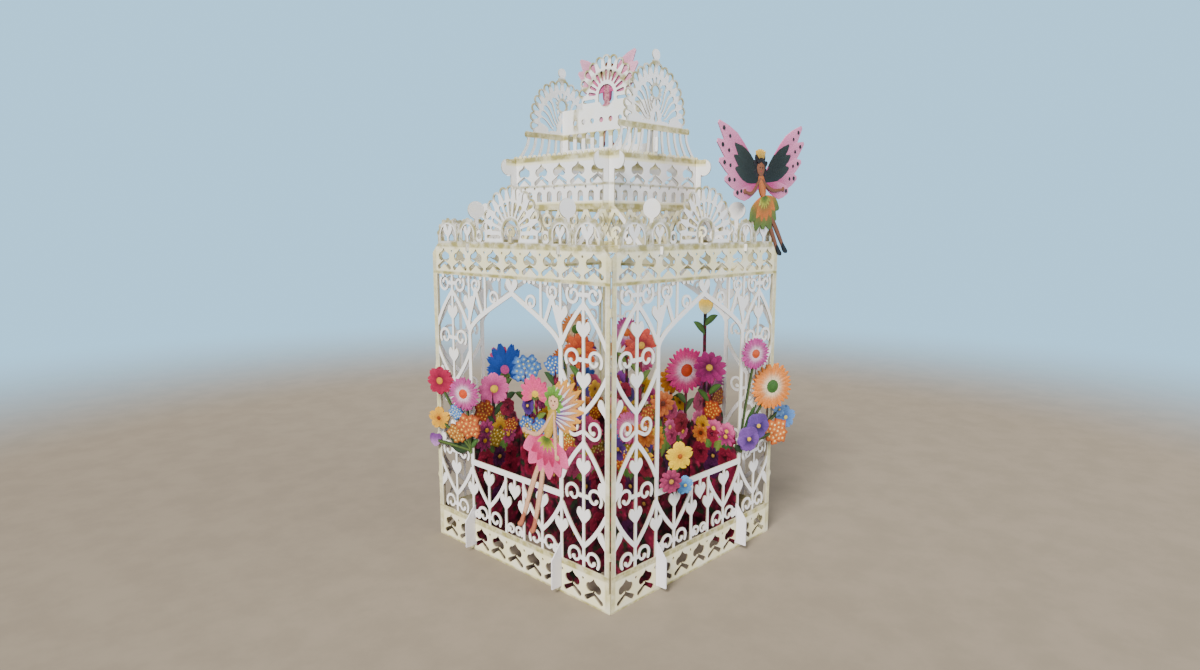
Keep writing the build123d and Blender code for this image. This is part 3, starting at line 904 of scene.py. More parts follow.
@dataclass(frozen=True)
class Bloom:
    """One printed flower head."""

    x: float
    z: float
    radius: float
    kind: BloomKind
    petal: str
    root: str
    heart: str

    def stand_off(self, angle: float) -> float:
        """How far outwards a bent head must be for its inner half to clear the sheet."""
        return self.radius * math.sin(math.radians(abs(angle))) + 0.6

    def print_on(self, printer: Printer, bend: Bend | None = None) -> None:
        """Prints the head in its own kind.

        Args:
            printer: Printer of the sheet that carries the flower.
            bend: How the head is bent out of the sheet.
        """
        printer.bend = bend
        getattr(self, f"_{self.kind.value}")(printer)
        printer.bend = None

    def _ring(self, printer: Printer, count: int, inner: float, outer: float, width: float, lift: float,
              turn: float = 0.0, **shape: float | tuple) -> None:
        """One ring of petals, with sizes as shares of the head's radius.

        Args:
            printer: Printer of the sheet.
            count: Number of petals.
            inner: Radius at the roots.
            outer: Radius at the tips.
            width: Half width of a petal.
            lift: Height of the ring in millimetres.
            turn: Direction of the first petal in degrees.
            shape: What else petals takes.
        """
        angles = np.arange(count) * 360.0 / count + turn + printer.draw.uniform(-3, 3, count)
        reach = self.radius * outer * printer.draw.uniform(0.94, 1.03, count)
        printer.petals(self.x, self.z, angles, self.radius * inner, reach, self.radius * width,
                       ink(self.root), ink(self.petal), lift, **shape)

    def _eye(self, printer: Printer, share: float, lift: float) -> None:
        """Round middle of the head."""
        middle = ink(self.heart)
        printer.buttons(self.x, self.z, self.radius * share, middle, middle * 0.7, lift)

    def _gerbera(self, printer: Printer) -> None:
        """Two rings of narrow petals, pale inwards, about a ringed eye.

        Args:
            printer: Printer of the sheet that carries the flower.
        """
        self._ring(printer, 30, 0.2, 1.0, 0.088, 0.0, shift=0.34, grid=(6, 3))
        self._ring(printer, 24, 0.18, 0.8, 0.08, 0.09, 7.0, shift=0.42, grid=(6, 3))
        self._eye(printer, 0.29, 0.18)
        self._eye(printer, 0.18, 0.34)

    def _daisy(self, printer: Printer) -> None:
        """Broad petals in two rings.

        Args:
            printer: Printer of the sheet that carries the flower.
        """
        self._ring(printer, 11, 0.14, 1.0, 0.2, 0.0, notch=0.12)
        self._ring(printer, 7, 0.1, 0.7, 0.19, 0.1, 17.0, notch=0.1)
        self._eye(printer, 0.2, 0.24)

    def _cosmos(self, printer: Printer) -> None:
        """Eight broad notched petals."""
        self._ring(printer, 8, 0.1, 1.0, 0.31, 0.0, notch=0.2, shift=0.3)
        self._eye(printer, 0.24, 0.18)

    def _cluster(self, printer: Printer) -> None:
        """Head of many small four-lobed florets, each with an eye, set out on a sunflower spiral.

        Args:
            printer: Printer of the sheet that carries the flower.
        """
        count = 19
        share = np.sqrt((np.arange(count) + 0.5) / count)
        angle = np.arange(count) * 2.39996
        x = self.x + 0.82 * self.radius * share * np.cos(angle)
        z = self.z + 0.82 * self.radius * share * np.sin(angle)
        size = 0.27 * self.radius * printer.draw.uniform(0.9, 1.15, count)
        for part in (slice(0, None, 3), slice(1, None, 3), slice(2, None, 3)):
            printer.buttons(x[part], z[part], size[part], ink(self.petal), ink(self.root), 0.05 * part.start,
                            dome=0.14, lobes=4, grid=6)
        printer.buttons(x, z, 0.24 * size, ink(self.heart), ink(self.heart), 0.22, dome=0.08, grid=4)

    def _pansy(self, printer: Printer) -> None:
        """Five overlapping round petals, dark about a bright eye.

        Args:
            printer: Printer of the sheet that carries the flower.
        """
        printer.petals(self.x, self.z, np.array([55.0, 125.0]), 0.05, self.radius, 0.52 * self.radius,
                       ink(self.petal), ink(self.petal) * 0.8, 0.0)
        printer.petals(self.x, self.z, np.array([-8.0, 188.0]), 0.05, 0.92 * self.radius, 0.48 * self.radius,
                       ink(self.root), ink(self.petal), 0.1, shift=0.4)
        printer.petals(self.x, self.z, np.array([270.0]), 0.05, 0.95 * self.radius, 0.6 * self.radius,
                       ink(self.root), ink(self.petal), 0.2, notch=0.15, shift=0.45)
        self._eye(printer, 0.16, 0.36)

    def _rose(self, printer: Printer) -> None:
        """Four turning rings of broad cupped petals, darker inwards.

        Args:
            printer: Printer of the sheet that carries the flower.
        """
        rings = ((7, 1.0, 0.42), (6, 0.78, 0.36), (5, 0.55, 0.28), (3, 0.32, 0.2))
        for ring, (count, outer, width) in enumerate(rings):
            self._ring(printer, count, 0.05, outer, width, 0.1 * ring, 23.0 * ring, belly=0.7, shift=0.55)

    def _tulip(self, printer: Printer) -> None:
        """Closed cup of upright petals.

        Args:
            printer: Printer of the sheet that carries the flower.
        """
        printer.petals(self.x, self.z - 0.8 * self.radius, np.array([72.0, 108.0]), 0.0, 1.9 * self.radius,
                       0.55 * self.radius, ink(self.root), ink(self.petal), 0.0, belly=0.5)
        printer.petals(self.x, self.z - 0.8 * self.radius, np.array([90.0]), 0.0, 1.75 * self.radius,
                       0.6 * self.radius, ink(self.root), ink(self.petal), 0.12, belly=0.5)

    def _profile(self, printer: Printer) -> None:
        """Open cup seen from the side: a fan of petals above a small leafy calyx.

        Args:
            printer: Printer of the sheet that carries the flower.
        """
        foot = self.z - 0.45 * self.radius
        angles = np.linspace(196.0, -16.0, 10) + printer.draw.uniform(-4, 4, 10)
        reach = self.radius * (1.05 + 0.35 * np.sin(np.radians(np.clip(angles, 0, 180))))
        root, tip, middle = ink(self.root), ink(self.petal), ink(self.heart)
        reach = reach * printer.draw.uniform(0.9, 1.05, 10)
        printer.petals(self.x, foot, angles, 0.1, reach, 0.2 * self.radius, root, tip, 0.0, notch=0.14,
                       shift=0.3)
        printer.petals(self.x, foot, np.linspace(165.0, 15.0, 7), 0.1, 0.95 * self.radius,
                       0.19 * self.radius, root, tip, 0.12, notch=0.14, shift=0.25)
        printer.buttons(self.x, foot + 0.12 * self.radius, 0.24 * self.radius, middle, middle, 0.26)
        printer.petals(self.x, foot - 0.1, np.array([215.0, 250.0, 290.0, 325.0]), 0.0, 0.34 * self.radius,
                       0.1 * self.radius, ink("2c4420"), ink("5a7434"), 0.16, point=0.7)

    def _primrose(self, printer: Printer) -> None:
        """Five heart-shaped petals."""
        self._ring(printer, 5, 0.05, 1.0, 0.4, 0.0, 18.0, notch=0.28, shift=0.25)
        self._eye(printer, 0.17, 0.2)


Socket = bpy.types.NodeSocket
Value = Socket | float | Sequence[float] | None


class Inks:
    """Node helper that builds one procedural finish."""

    def __init__(self, name: str) -> None:
        """Starts an empty finish with a surface shader.

        Args:
            name: Name of the finish.
        """
        self.material = bpy.data.materials.new(name)
        self.material.use_nodes = True
        self.tree = self.material.node_tree
        self.tree.nodes.clear()
        output = self.tree.nodes.new("ShaderNodeOutputMaterial")
        self.surface = self.tree.nodes.new("ShaderNodeBsdfPrincipled")
        self.tree.links.new(self.surface.outputs["BSDF"], output.inputs["Surface"])

    def set(self, node: bpy.types.Node, key: str | int, value: Value) -> None:
        """Links a socket to an input, or sets a constant on it.

        Args:
            node: Node that takes the value.
            key: Name or number of its input.
            value: Socket, constant, or None to leave the input as it is.
        """
        if isinstance(value, Socket):
            self.tree.links.new(value, node.inputs[key])
        elif value is not None:
            node.inputs[key].default_value = value

    def math(self, operation: str, first: Value, second: Value = None) -> Socket:
        """One arithmetic step.

        Args:
            operation: Name of the step.
            first: First term.
            second: Second term, where the step takes two.

        Returns:
            The result.
        """
        node = self.tree.nodes.new("ShaderNodeMath")
        node.operation = operation
        self.set(node, 0, first)
        self.set(node, 1, second)
        return node.outputs[0]

    def step(self, value: Value, low: float, high: float, out_low: float = 0.0,
             out_high: float = 1.0) -> Socket:
        """Smooth rise from one value to another.

        Args:
            value: What is looked up.
            low: Where the rise starts.
            high: Where it ends.
            out_low: Result up to the start.
            out_high: Result past the end.

        Returns:
            The result.
        """
        node = self.tree.nodes.new("ShaderNodeMapRange")
        node.interpolation_type = "SMOOTHSTEP"
        for key, number in zip(("Value", "From Min", "From Max", "To Min", "To Max"),
                               (value, low, high, out_low, out_high)):
            self.set(node, key, number)
        return node.outputs["Result"]

    def band(self, value: Value, low: float, high: float, soft: float) -> Socket:
        """One between two values, falling off smoothly on both sides.

        Args:
            value: What is looked up.
            low: Lower end.
            high: Upper end.
            soft: Half width of the fall at each end.

        Returns:
            The result.
        """
        rise = self.step(value, low - soft, low + soft)
        fall = self.step(value, high - soft, high + soft, 1.0, 0.0)
        return self.math("MULTIPLY", rise, fall)

    def highest(self, values: Sequence[Socket]) -> Socket:
        """Largest of several values.

        Args:
            values: What to compare.

        Returns:
            The largest.
        """
        top = values[0]
        for value in values[1:]:
            top = self.math("MAXIMUM", top, value)
        return top

    def sheet(self) -> tuple[Socket, Socket, Socket]:
        """Flat place on the sheet in millimetres.

        Returns:
            The whole vector, the place across and the place up.
        """
        node = self.tree.nodes.new("ShaderNodeUVMap")
        node.uv_map = "sheet"
        parts = self.tree.nodes.new("ShaderNodeSeparateXYZ")
        self.set(parts, 0, node.outputs[0])
        return node.outputs[0], parts.outputs["X"], parts.outputs["Y"]

    def noise(self, vector: Value, scale: float, detail: float = 3.0, rough: float = 0.55) -> Socket:
        """Soft random pattern.

        Args:
            vector: Place.
            scale: Fineness.
            detail: Number of finer layers.
            rough: Share of each finer layer.

        Returns:
            The pattern.
        """
        node = self.tree.nodes.new("ShaderNodeTexNoise")
        self.set(node, "Vector", vector)
        for key, number in zip(("Scale", "Detail", "Roughness"), (scale, detail, rough)):
            self.set(node, key, number)
        return node.outputs["Fac"]

    def cells(self, vector: Value, scale: float) -> Socket:
        """Distance to the nearest of many scattered points.

        Args:
            vector: Place.
            scale: Fineness.

        Returns:
            The distance.
        """
        node = self.tree.nodes.new("ShaderNodeTexVoronoi")
        self.set(node, "Vector", vector)
        self.set(node, "Scale", scale)
        return node.outputs["Distance"]

    def mix(self, share: Value, first: Value, second: Value, blend: str = "MIX") -> Socket:
        """Mix of two colours.

        Args:
            share: Share of the second colour.
            first: First colour.
            second: Second colour.
            blend: Way of mixing.

        Returns:
            The mixed colour.
        """
        node = self.tree.nodes.new("ShaderNodeMix")
        node.data_type = "RGBA"
        node.blend_type = blend
        sockets = [s for s in node.inputs if s.enabled]
        for socket, value in zip(sockets, (share, first, second)):
            if isinstance(value, Socket):
                self.tree.links.new(value, socket)
            elif isinstance(value, (int, float)):
                socket.default_value = value
            else:
                socket.default_value = (*value, 1.0)
        return next(s for s in node.outputs if s.enabled)

    def attribute(self, name: str, output: str) -> Socket:
        """A value stored on the mesh.

        Args:
            name: Name of the value.
            output: Form that it is read in.

        Returns:
            The value.
        """
        node = self.tree.nodes.new("ShaderNodeAttribute")
        node.attribute_name = name
        return node.outputs[output]

    def finish(self, colour: Value, roughness: Value, bump_from: Value, bump: float) -> bpy.types.Material:
        """Feeds the surface shader.

        Args:
            colour: Colour socket.
            roughness: Roughness socket or number.
            bump_from: Height socket for the paper's tooth.
            bump: Depth of the tooth in metres.

        Returns:
            The finished material.
        """
        self.set(self.surface, "Base Color", colour)
        self.set(self.surface, "Roughness", roughness)
        self.surface.inputs["Specular IOR Level"].default_value = 0.32
        node = self.tree.nodes.new("ShaderNodeBump")
        node.inputs["Strength"].default_value = 0.5
        node.inputs["Distance"].default_value = bump
        self.set(node, "Height", bump_from)
        self.set(self.surface, "Normal", node.outputs["Normal"])
        return self.material


@dataclass(frozen=True)
class AntiqueCard:
    """White card with cream washes, printed bands and, over the roof trusses, painted shade, olive gilding
    along lines, borders and rings, and bare cut edges.
    """

    name: str
    print_and_shade_washes: tuple = ()
    levels: tuple = ()
    borders: tuple = ()
    rings: tuple = ()
    reach: float = 70.0
    white: tuple = (0.88, 0.865, 0.85)
    cream: tuple = (0.82, 0.76, 0.46)
    gilt: tuple = (0.26, 0.222, 0.045)
    edge: tuple = (0.36, 0.31, 0.17)

    def _ring(self, inks: Inks, out: Value, up: Value, ring: tuple) -> Socket:
        """Mask of a ring about a point, above the level of its foot.

        Args:
            inks: Finish that is being built.
            out: Distance from the middle of the sheet.
            up: Place up.
            ring: Middle across and up, inner and outer radius, and softness.

        Returns:
            The mask.
        """
        x, z, low, high, soft = ring
        across = inks.math("POWER", inks.math("SUBTRACT", out, x), 2.0)
        rise = inks.math("POWER", inks.math("SUBTRACT", up, z), 2.0)
        far = inks.math("SQRT", inks.math("ADD", across, rise))
        return inks.math("MULTIPLY", inks.band(far, low, high, soft), inks.step(up, z - 6.0, z - 3.0))

    def build(self) -> bpy.types.Material:
        """Makes the finish.

        Returns:
            The material.
        """
        inks = Inks(self.name)
        place, across, up = inks.sheet()
        out = inks.math("ABSOLUTE", across)
        within = inks.step(out, self.reach - 0.3, self.reach + 0.3, 1.0, 0.0)
        edges = [inks.band(out, low, high, soft) for low, high, soft in self.borders]
        # Cream washes: printed bands, and on the roof card a wash over the trusses that is painted shade.
        print_and_shade_washes = [inks.band(up, low, high, soft) for low, high, soft in self.print_and_shade_washes] + edges
        wash = inks.math("MULTIPLY", inks.highest(print_and_shade_washes), within)
        cloud = inks.step(inks.noise(place, 0.12, 3.0, 0.6), 0.3, 0.62, 0.5, 1.0)
        lines = [inks.band(up, low, high, soft) for low, high, soft in self.levels]
        line = inks.math("MULTIPLY", inks.highest(lines), within)
        rims = [self._ring(inks, out, up, ring) for ring in self.rings]
        trace = inks.highest([line] + rims + [inks.math("MULTIPLY", edge, 0.55) for edge in edges])
        patches = inks.step(inks.noise(place, 0.2, 4.0, 0.65), 0.36, 0.62, 0.4, 1.0)
        tooth = inks.noise(place, 5.5, 5.0, 0.7)
        colour = inks.mix(inks.step(tooth, 0.3, 0.7), tuple(0.94 * c for c in self.white), self.white)
        stray = inks.step(inks.noise(place, 0.07, 2.0), 0.52, 0.8, 0.0, 0.3)
        washed = inks.math("MAXIMUM", inks.math("MULTIPLY", wash, cloud), stray)
        colour = inks.mix(washed, colour, self.cream)
        gilded = inks.math("MULTIPLY", inks.math("MULTIPLY", trace, patches), 0.9)
        colour = inks.mix(gilded, colour, self.gilt)
        edge = inks.math("MULTIPLY", inks.attribute("cut_edge", "Fac"), 0.8)
        colour = inks.mix(edge, colour, self.edge)
        rough = inks.step(inks.noise(place, 1.4, 3.0), 0.3, 0.7, 0.5, 0.68)
        return inks.finish(colour, rough, tooth, 0.00006)


@dataclass(frozen=True)
class GardenCard:
    """Dark printed ground of wine red and black green, with fins past the walls in white card darkened to a
    lavender grey, painted shade.
    """

    name: str
    ground: str = "1a1014"
    wine: str = "6e1230"
    leaf: str = "1d2f1c"
    glow: str = "a32a4a"
    fins_past: float = 54.4

    def build(self) -> bpy.types.Material:
        """Makes the finish.

        Returns:
            The material.
        """
        inks = Inks(self.name)
        place, across, _ = inks.sheet()
        drift = inks.noise(place, 0.16, 4.0)
        colour = inks.mix(inks.step(drift, 0.4, 0.6), tuple(ink(self.ground)), tuple(ink(self.wine)))
        colour = inks.mix(inks.step(inks.noise(place, 0.3, 3.0), 0.55, 0.62), colour, tuple(ink(self.leaf)))
        petals = inks.step(inks.cells(place, 0.32), 0.12, 0.42, 0.75, 0.0)
        petals = inks.math("MULTIPLY", petals, inks.step(drift, 0.42, 0.56))
        colour = inks.mix(petals, colour, tuple(ink(self.glow)))
        fins = inks.step(inks.math("ABSOLUTE", across), self.fins_past - 0.05, self.fins_past + 0.05)
        tooth = inks.noise(place, 5.0, 4.0, 0.7)
        # Fin colour: white card darkened to a lavender grey, painted shade on the fins that stand out past
        # the walls.
        white = inks.mix(tooth, (0.72, 0.70, 0.74), (0.8, 0.78, 0.82))
        colour = inks.mix(fins, colour, white)
        return inks.finish(colour, inks.step(drift, 0.3, 0.7, 0.45, 0.6), tooth, 0.00005)


@dataclass(frozen=True)
class StemCard:
    """Printed ground of stems and leaves, mottled between two greens."""

    name: str
    dark: str = "27351c"
    light: str = "5d7437"

    def build(self) -> bpy.types.Material:
        """Makes the finish.

        Returns:
            The material.
        """
        inks = Inks(self.name)
        place, _, _ = inks.sheet()
        veins = inks.noise(place, 0.8, 5.0, 0.7)
        colour = inks.mix(inks.step(veins, 0.35, 0.65), tuple(ink(self.dark)), tuple(ink(self.light)))
        edge = inks.math("MULTIPLY", inks.attribute("cut_edge", "Fac"), 0.6)
        colour = inks.mix(edge, colour, (0.66, 0.62, 0.5))
        rough, tooth = inks.step(veins, 0.3, 0.7, 0.42, 0.58), inks.noise(place, 5.0, 4.0)
        return inks.finish(colour, rough, tooth, 0.00005)


@dataclass(frozen=True)
class PetalInk:
    """Satin colour print that follows the shades stored on the petals."""

    name: str
    gloss: tuple = (0.34, 0.5)

    def build(self) -> bpy.types.Material:
        """Makes the finish.

        Returns:
            The material.
        """
        inks = Inks(self.name)
        place, _, _ = inks.sheet()
        grain = inks.noise(place, 1.6, 5.0, 0.7)
        fine = inks.noise(place, 6.0, 3.0, 0.6)
        shade = inks.step(grain, 0.25, 0.75, 0.58, 0.98)
        tone = inks.mix(1.0, inks.attribute("print", "Color"), shade, "MULTIPLY")
        return inks.finish(tone, inks.step(fine, 0.3, 0.7, *self.gloss), fine, 0.00005)


@dataclass(frozen=True)
class PaleFloor:
    """Pale warm ground with faint mottling that passes into the pale blue backdrop away from the card."""

    name: str = "pale_floor"
    light: tuple = (0.245, 0.202, 0.148)
    dark: tuple = (0.22, 0.182, 0.132)
    backdrop: tuple = (0.56, 1.04, 1.42)
    near: float = 0.36
    far: float = 0.85

    def build(self) -> bpy.types.Material:
        """Makes the finish.

        Returns:
            The material.
        """
        inks = Inks(self.name)
        node = inks.tree.nodes.new("ShaderNodeTexCoord")
        spots = inks.noise(node.outputs["Object"], 46.0, 6.0, 0.65)
        length = inks.tree.nodes.new("ShaderNodeVectorMath")
        length.operation = "LENGTH"
        inks.set(length, 0, node.outputs["Object"])
        away = inks.step(length.outputs["Value"], self.near, self.far)
        colour = inks.mix(inks.step(spots, 0.35, 0.65), self.dark, self.light)
        inks.set(inks.surface, "Emission Color", (*self.backdrop, 1.0))
        inks.set(inks.surface, "Emission Strength", away)
        shine = inks.step(length.outputs["Value"], self.near, self.far, 0.32, 0.0)
        inks.set(inks.surface, "Specular IOR Level", shine)
        return inks.finish(inks.mix(away, colour, (0.0, 0.0, 0.0)), 0.8, spots, 0.0002)


def spokes(z: float, angles: np.ndarray, low: float, high: float, width: float,
           end_width: float) -> list[Shape]:
    """Tapering strips that run outwards from a point on a sheet's middle line.

    Args:
        z: Level of the point.
        angles: Direction of each strip in radians.
        low: Distance of its start from the point.
        high: Distance of its end.
        width: Width at its start.
        end_width: Width at its end.

    Returns:
        The strips.
    """
    ways = np.stack([np.cos(angles), np.sin(angles)], axis=1)
    return [Stroke(np.array([low * way, high * way]) + (0.0, z), width, end_width) for way in ways]


def sunburst(sheet: CutSheet, z: float, foot: float, radius: float, hub: float, cells: int) -> None:
    """Half-round fan with a scalloped rim, drop-shaped cells, tapering gaps and a round hub.

    Args:
        sheet: Sheet that carries the fan, about its middle.
        z: Level of the fan's centre.
        foot: Level of the fan's foot.
        radius: Radius over the scallops.
        hub: Radius of the hub's opening.
        cells: Cells round the half circle.
    """
    angles = np.radians((np.arange(cells) + 0.5) * 180.0 / cells)
    scallop = 0.5 * np.pi * (radius - 2.0) / cells
    cx, sz = np.cos(angles), np.sin(angles)
    rim = radius - scallop
    sheet.add([Outline(arc(0, z, rim, 0, 180, 41)), Strip(-rim, rim, foot, z + 0.2)])
    sheet.add([Disc(rim * c, z + rim * s, scallop) for c, s in zip(cx, sz)], BLEND)
    sheet.cut(spokes(z, angles, rim - 2.6, rim - 0.02 * scallop, 1.2, 1.3 * scallop))
    low, high = hub + 2.1, rim - 4.9
    sheet.cut(spokes(z, angles, low, high, 0.55 * low * np.pi / cells, high * np.pi / cells - 1.3))
    sheet.cut([Stroke(np.array([(side * (low + 0.4), z - 1.7), (side * (rim - 1.6), z - 1.7)]), 1.5)
               for side in (-1, 1)])
    sheet.cut([Disc(0, z, hub), Strip(-hub, hub, foot + 2.2, z)])


@dataclass
class Walls:
    """Two openwork walls folded from one sheet, with the pattern of each worked out on its right half."""

    border: float = 2.9
    lattice_foot: float = 14.5
    lattice_top: float = 122.9
    column_in: float = 29.7
    bar: float = 1.75
    stem: float = 1.3
    heart_width: float = 7.3
    spade_width: float = 8.6
    spade_height: float = 9.4
    corner_cut: float = 4.0
    overlap: float = 0.3
    head_gap: float = 4.0
    inner_stem_at: float = 5.8
    sill: float = 2.5
    window_half: float = 27.6
    window_rim: float = 2.0
    spring: float = 98.0
    apex: float = 116.1
    slits: tuple = ((8.0, 21.0), (24.0, 112.2), (115.2, 128.2))
    slit_half: float = 0.8
    trim_span: tuple = (-5.0, 170.0)
    slots: tuple = ((2.4, 20.8), (RAIL_FOOT, RAIL_TOP))
    spades: int = 9
    spade_feet: tuple = (2.2, WALL_HEIGHT - 11.0)
    bead_level: float = 7.9
    bead: float = 0.55
    vee_level: float = 0.16
    vee_rise: float = 0.275
    peak_level: float = 0.94
    peak_fall: float = 0.295
    curl: float = 3.8
    curl_level: float = 0.545
    foot_curl_level: float = 0.068
    heart_share: float = 0.94
    heart_blend: float = 0.12
    heart_levels: tuple = (0.39, 0.755)
    stem_heart: float = 0.255
    sill_heart: float = 0.375
    border_hearts: tuple = ((0.25, 0.0), (1.22, 0.0), (0.56, 3.0))
    shoulder_heart: tuple = (28.9, 111.2)
    crown_heart: float = 120.0
    crest_half: float = 50.5
    crest_top: float = 161.0
    crest_sunk: float = 1.0
    crest_rail: float = 1.2
    arches: tuple = ((43.0, 15.0), (28.75, 11.7))
    arch_rise: float = 10.4
    arch_rim: float = 1.8
    arch_knob: float = 1.15
    arch_heart: float = 0.42
    fan_rise: float = 5.2
    fan_top: float = 23.8
    fan_hub: float = 4.7
    fan_cells: int = 11

    def __post_init__(self) -> None:
        """Works out the places that follow from the sizes."""
        self.column_out = HALF - self.border
        self.column_at = (self.column_in + self.column_out) / 2
        self.period = (self.lattice_top - self.lattice_foot - self.head_gap) / 2
        self.sill_vee_at = (POST_AT + self.inner_stem_at) / 2
        self.sill_foot = SILL_TOP - self.sill

    def window(self) -> Outline:
        """Window outline: upright sides and an ogee head.

        Returns:
            The outline.
        """
        half = self.window_half
        head = bezier((half, self.spring), (half - 0.6, self.spring + 4.4), (18.0, 107.0),
                      (0.0, self.apex), 17)
        right = np.vstack([[(half, SILL_TOP)], head])
        return Outline(np.vstack([right, np.stack([-right[::-1, 0], right[::-1, 1]], axis=1)[1:]]))

    def _vee(self, x: float, z: float, reach: float, rise: float) -> list[Shape]:
        """Two arms that bow gently outwards from a point.

        Args:
            x: Place of the point.
            z: Level of the point.
            reach: How far out each arm goes.
            rise: How far up it goes, below nought for down.

        Returns:
            Both arms.
        """
        arms = []
        for side in (-1, 1):
            guide = (x + side * 0.42 * reach, z + 0.28 * rise)
            end = (x + side * reach, z + rise)
            bow = (x + side * 0.8 * reach, z + 0.68 * rise)
            arms.append(Stroke(bezier((x, z), guide, bow, end, 9), self.bar))
        return arms

    def _scroll_pair(self, x: float, z: float, out: float, radius: float, kind: "Curl") -> list[Shape]:
        """Two curls that face each other across a stem, tied to it by small beads or springing from it.

        Args:
            x: Place of the stem.
            z: Level of the curls' middles.
            out: Distance of each middle from the stem.
            radius: Radius of the rim.
            kind: Which way the curls spring.

        Returns:
            Shapes of both curls.
        """
        start, turn = kind.value
        shapes: list[Shape] = []
        near, far = self.stem / 2 - self.overlap, out - radius + 1.0
        for side in (-1, 1):
            first = start if side > 0 else 180 - start
            curl = scroll(x + side * out, z, radius, first, side * turn)
            shapes += curl
            if kind is Curl.FROM_STEM:
                shapes.append(Stroke(np.array([(x, z - 0.9), curl[0].points[0]]), curl[0].width))
            else:
                shapes.append(Disc(x + side * (near + far) / 2, z, (far - near) / 2, 0.85))
        return shapes

    def _hearts(self) -> list[Shape]:
        """Hearts on the stems of the right half, with half hearts against the border.

        Returns:
            The hearts.
        """
        base, period = self.lattice_foot, self.period
        places = [(self.column_at, base + row * period + level * period)
                  for row in (0, 1) for level in self.heart_levels]
        lower = [(POST_AT, self.stem_heart), (self.inner_stem_at, self.stem_heart)]
        lower += [(self.sill_vee_at, self.heart_levels[0]), (0.0, self.sill_heart)]
        places += [(x, base + level * period) for x, level in lower] + [self.shoulder_heart]
        places += [(self.column_out, base + level * period + lift) for level, lift in self.border_hearts]
        places.append((0.0, self.crown_heart))
        return [heart(x, z, self.heart_width, self.heart_share * self.heart_width) for x, z in places]

    def _lattice(self) -> list[Shape]:
        """Bars, stems, curls and beads of the right half.

        Returns:
            Their shapes.
        """
        base, period, shapes = self.lattice_foot, self.period, []
        arm = self.column_out - self.column_at + self.overlap
        vee, rise = self.vee_level * period, self.vee_rise * period
        peak, fall = self.peak_level * period, -self.peak_fall * period
        for row in (0, 1):
            low = base + row * period
            shapes += self._vee(self.column_at, low + vee, arm, rise)
            shapes += self._vee(self.column_at, low + peak, arm, fall)
            shapes += self._scroll_pair(self.column_at, low + self.curl_level * period, 6.1, 4.0, Curl.OVER)
            kind, out, level = (Curl.FROM_STEM, 5.3, 0.045) if row else (Curl.OVER, 4.9, self.foot_curl_level)
            shapes += self._scroll_pair(self.column_at, low + level * period, out, self.curl, kind)
        shapes += self._scroll_pair(self.column_at, self.lattice_top - 3.6, 5.7, 3.7, Curl.UNDER)
        sill_arm = POST_AT - self.sill_vee_at
        shapes += self._vee(self.sill_vee_at, base + vee, sill_arm, rise)
        sill_curl = base + self.foot_curl_level * period
        shapes += self._scroll_pair(self.sill_vee_at, sill_curl, 4.6, self.curl, Curl.OVER)
        shapes += scroll(2.6, base + 2.7, 2.6, -35, 395, 1.2)
        shapes += scroll(POST_AT - 3.2, base + 2.6, 2.4, -35, 395, 1.15)
        stems = [(self.column_at, base, self.lattice_top), (POST_AT, base, SILL_TOP)]
        stems += [(POST_AT, 100, self.lattice_top)]
        stems += [(self.sill_vee_at, base, self.sill_foot), (self.inner_stem_at, base, self.sill_foot)]
        stems += [(17.5, 107.5, self.lattice_top), (0.0, self.sill_foot - 6.0, self.sill_foot)]
        shapes += [Stroke(np.array([(x, low), (x, high)]), self.stem) for x, low, high in stems]
        shapes += [Stroke(bezier((29.6, 101.0), (28.0, 107.0), (25.4, 112.0), (23.9, 117.5), 9), self.bar)]
        shapes += [Stroke(bezier((23.9, 117.5), (22.5, 113.0), (20.6, 109.0), (19.2, 106.4), 9), self.bar)]
        shapes += scroll(23.9, 119.4, 3.3, 145, 395, 1.25) + scroll(11.7, 114.3, 3.3, 250, -395, 1.25)
        shapes += [Disc(x, self.lattice_top - 0.4, 0.9) for x in (8.2, 10.9, 13.6, 20.4, 34.4, 47.4)]
        return shapes

    def _crest(self, sheet: CutSheet) -> None:
        """Round arches with a heart inside each, a ringed link, and the sunburst fan.

        Args:
            sheet: Outline that they are worked into.
        """
        sunk, foot = WALL_HEIGHT - self.crest_sunk, WALL_HEIGHT + self.crest_rail
        head = WALL_HEIGHT + self.arch_rise
        sheet.add([Strip(-self.crest_half, self.crest_half, sunk, foot)])
        for x, width in self.arches:
            sheet.add([arch(x, sunk, width, head)])
            knobs = arc(x, head - width / 2, width / 2 - self.overlap, 14, 166, 7)
            sheet.add([Disc(px, pz, self.arch_knob) for px, pz in knobs], KNOB_BLEND)
            sheet.cut([arch(x, foot, width - 2 * self.arch_rim, head - self.arch_rim)])
            sheet.add([Stroke(np.array([(x, foot - self.overlap), (x, foot + 3.0)]), 1.1)], BLEND)
            sheet.add([heart(x, foot + 4.2, self.arch_heart * width, self.arch_heart * width)], BLEND)
        sheet.add([Stroke(arc(20.6, foot + 2.4, 1.9, 0, 360, 29), 1.15)], BLEND)
        radius = self.fan_top - self.fan_rise
        sunburst(sheet, WALL_HEIGHT + self.fan_rise, sunk, radius, self.fan_hub, self.fan_cells)

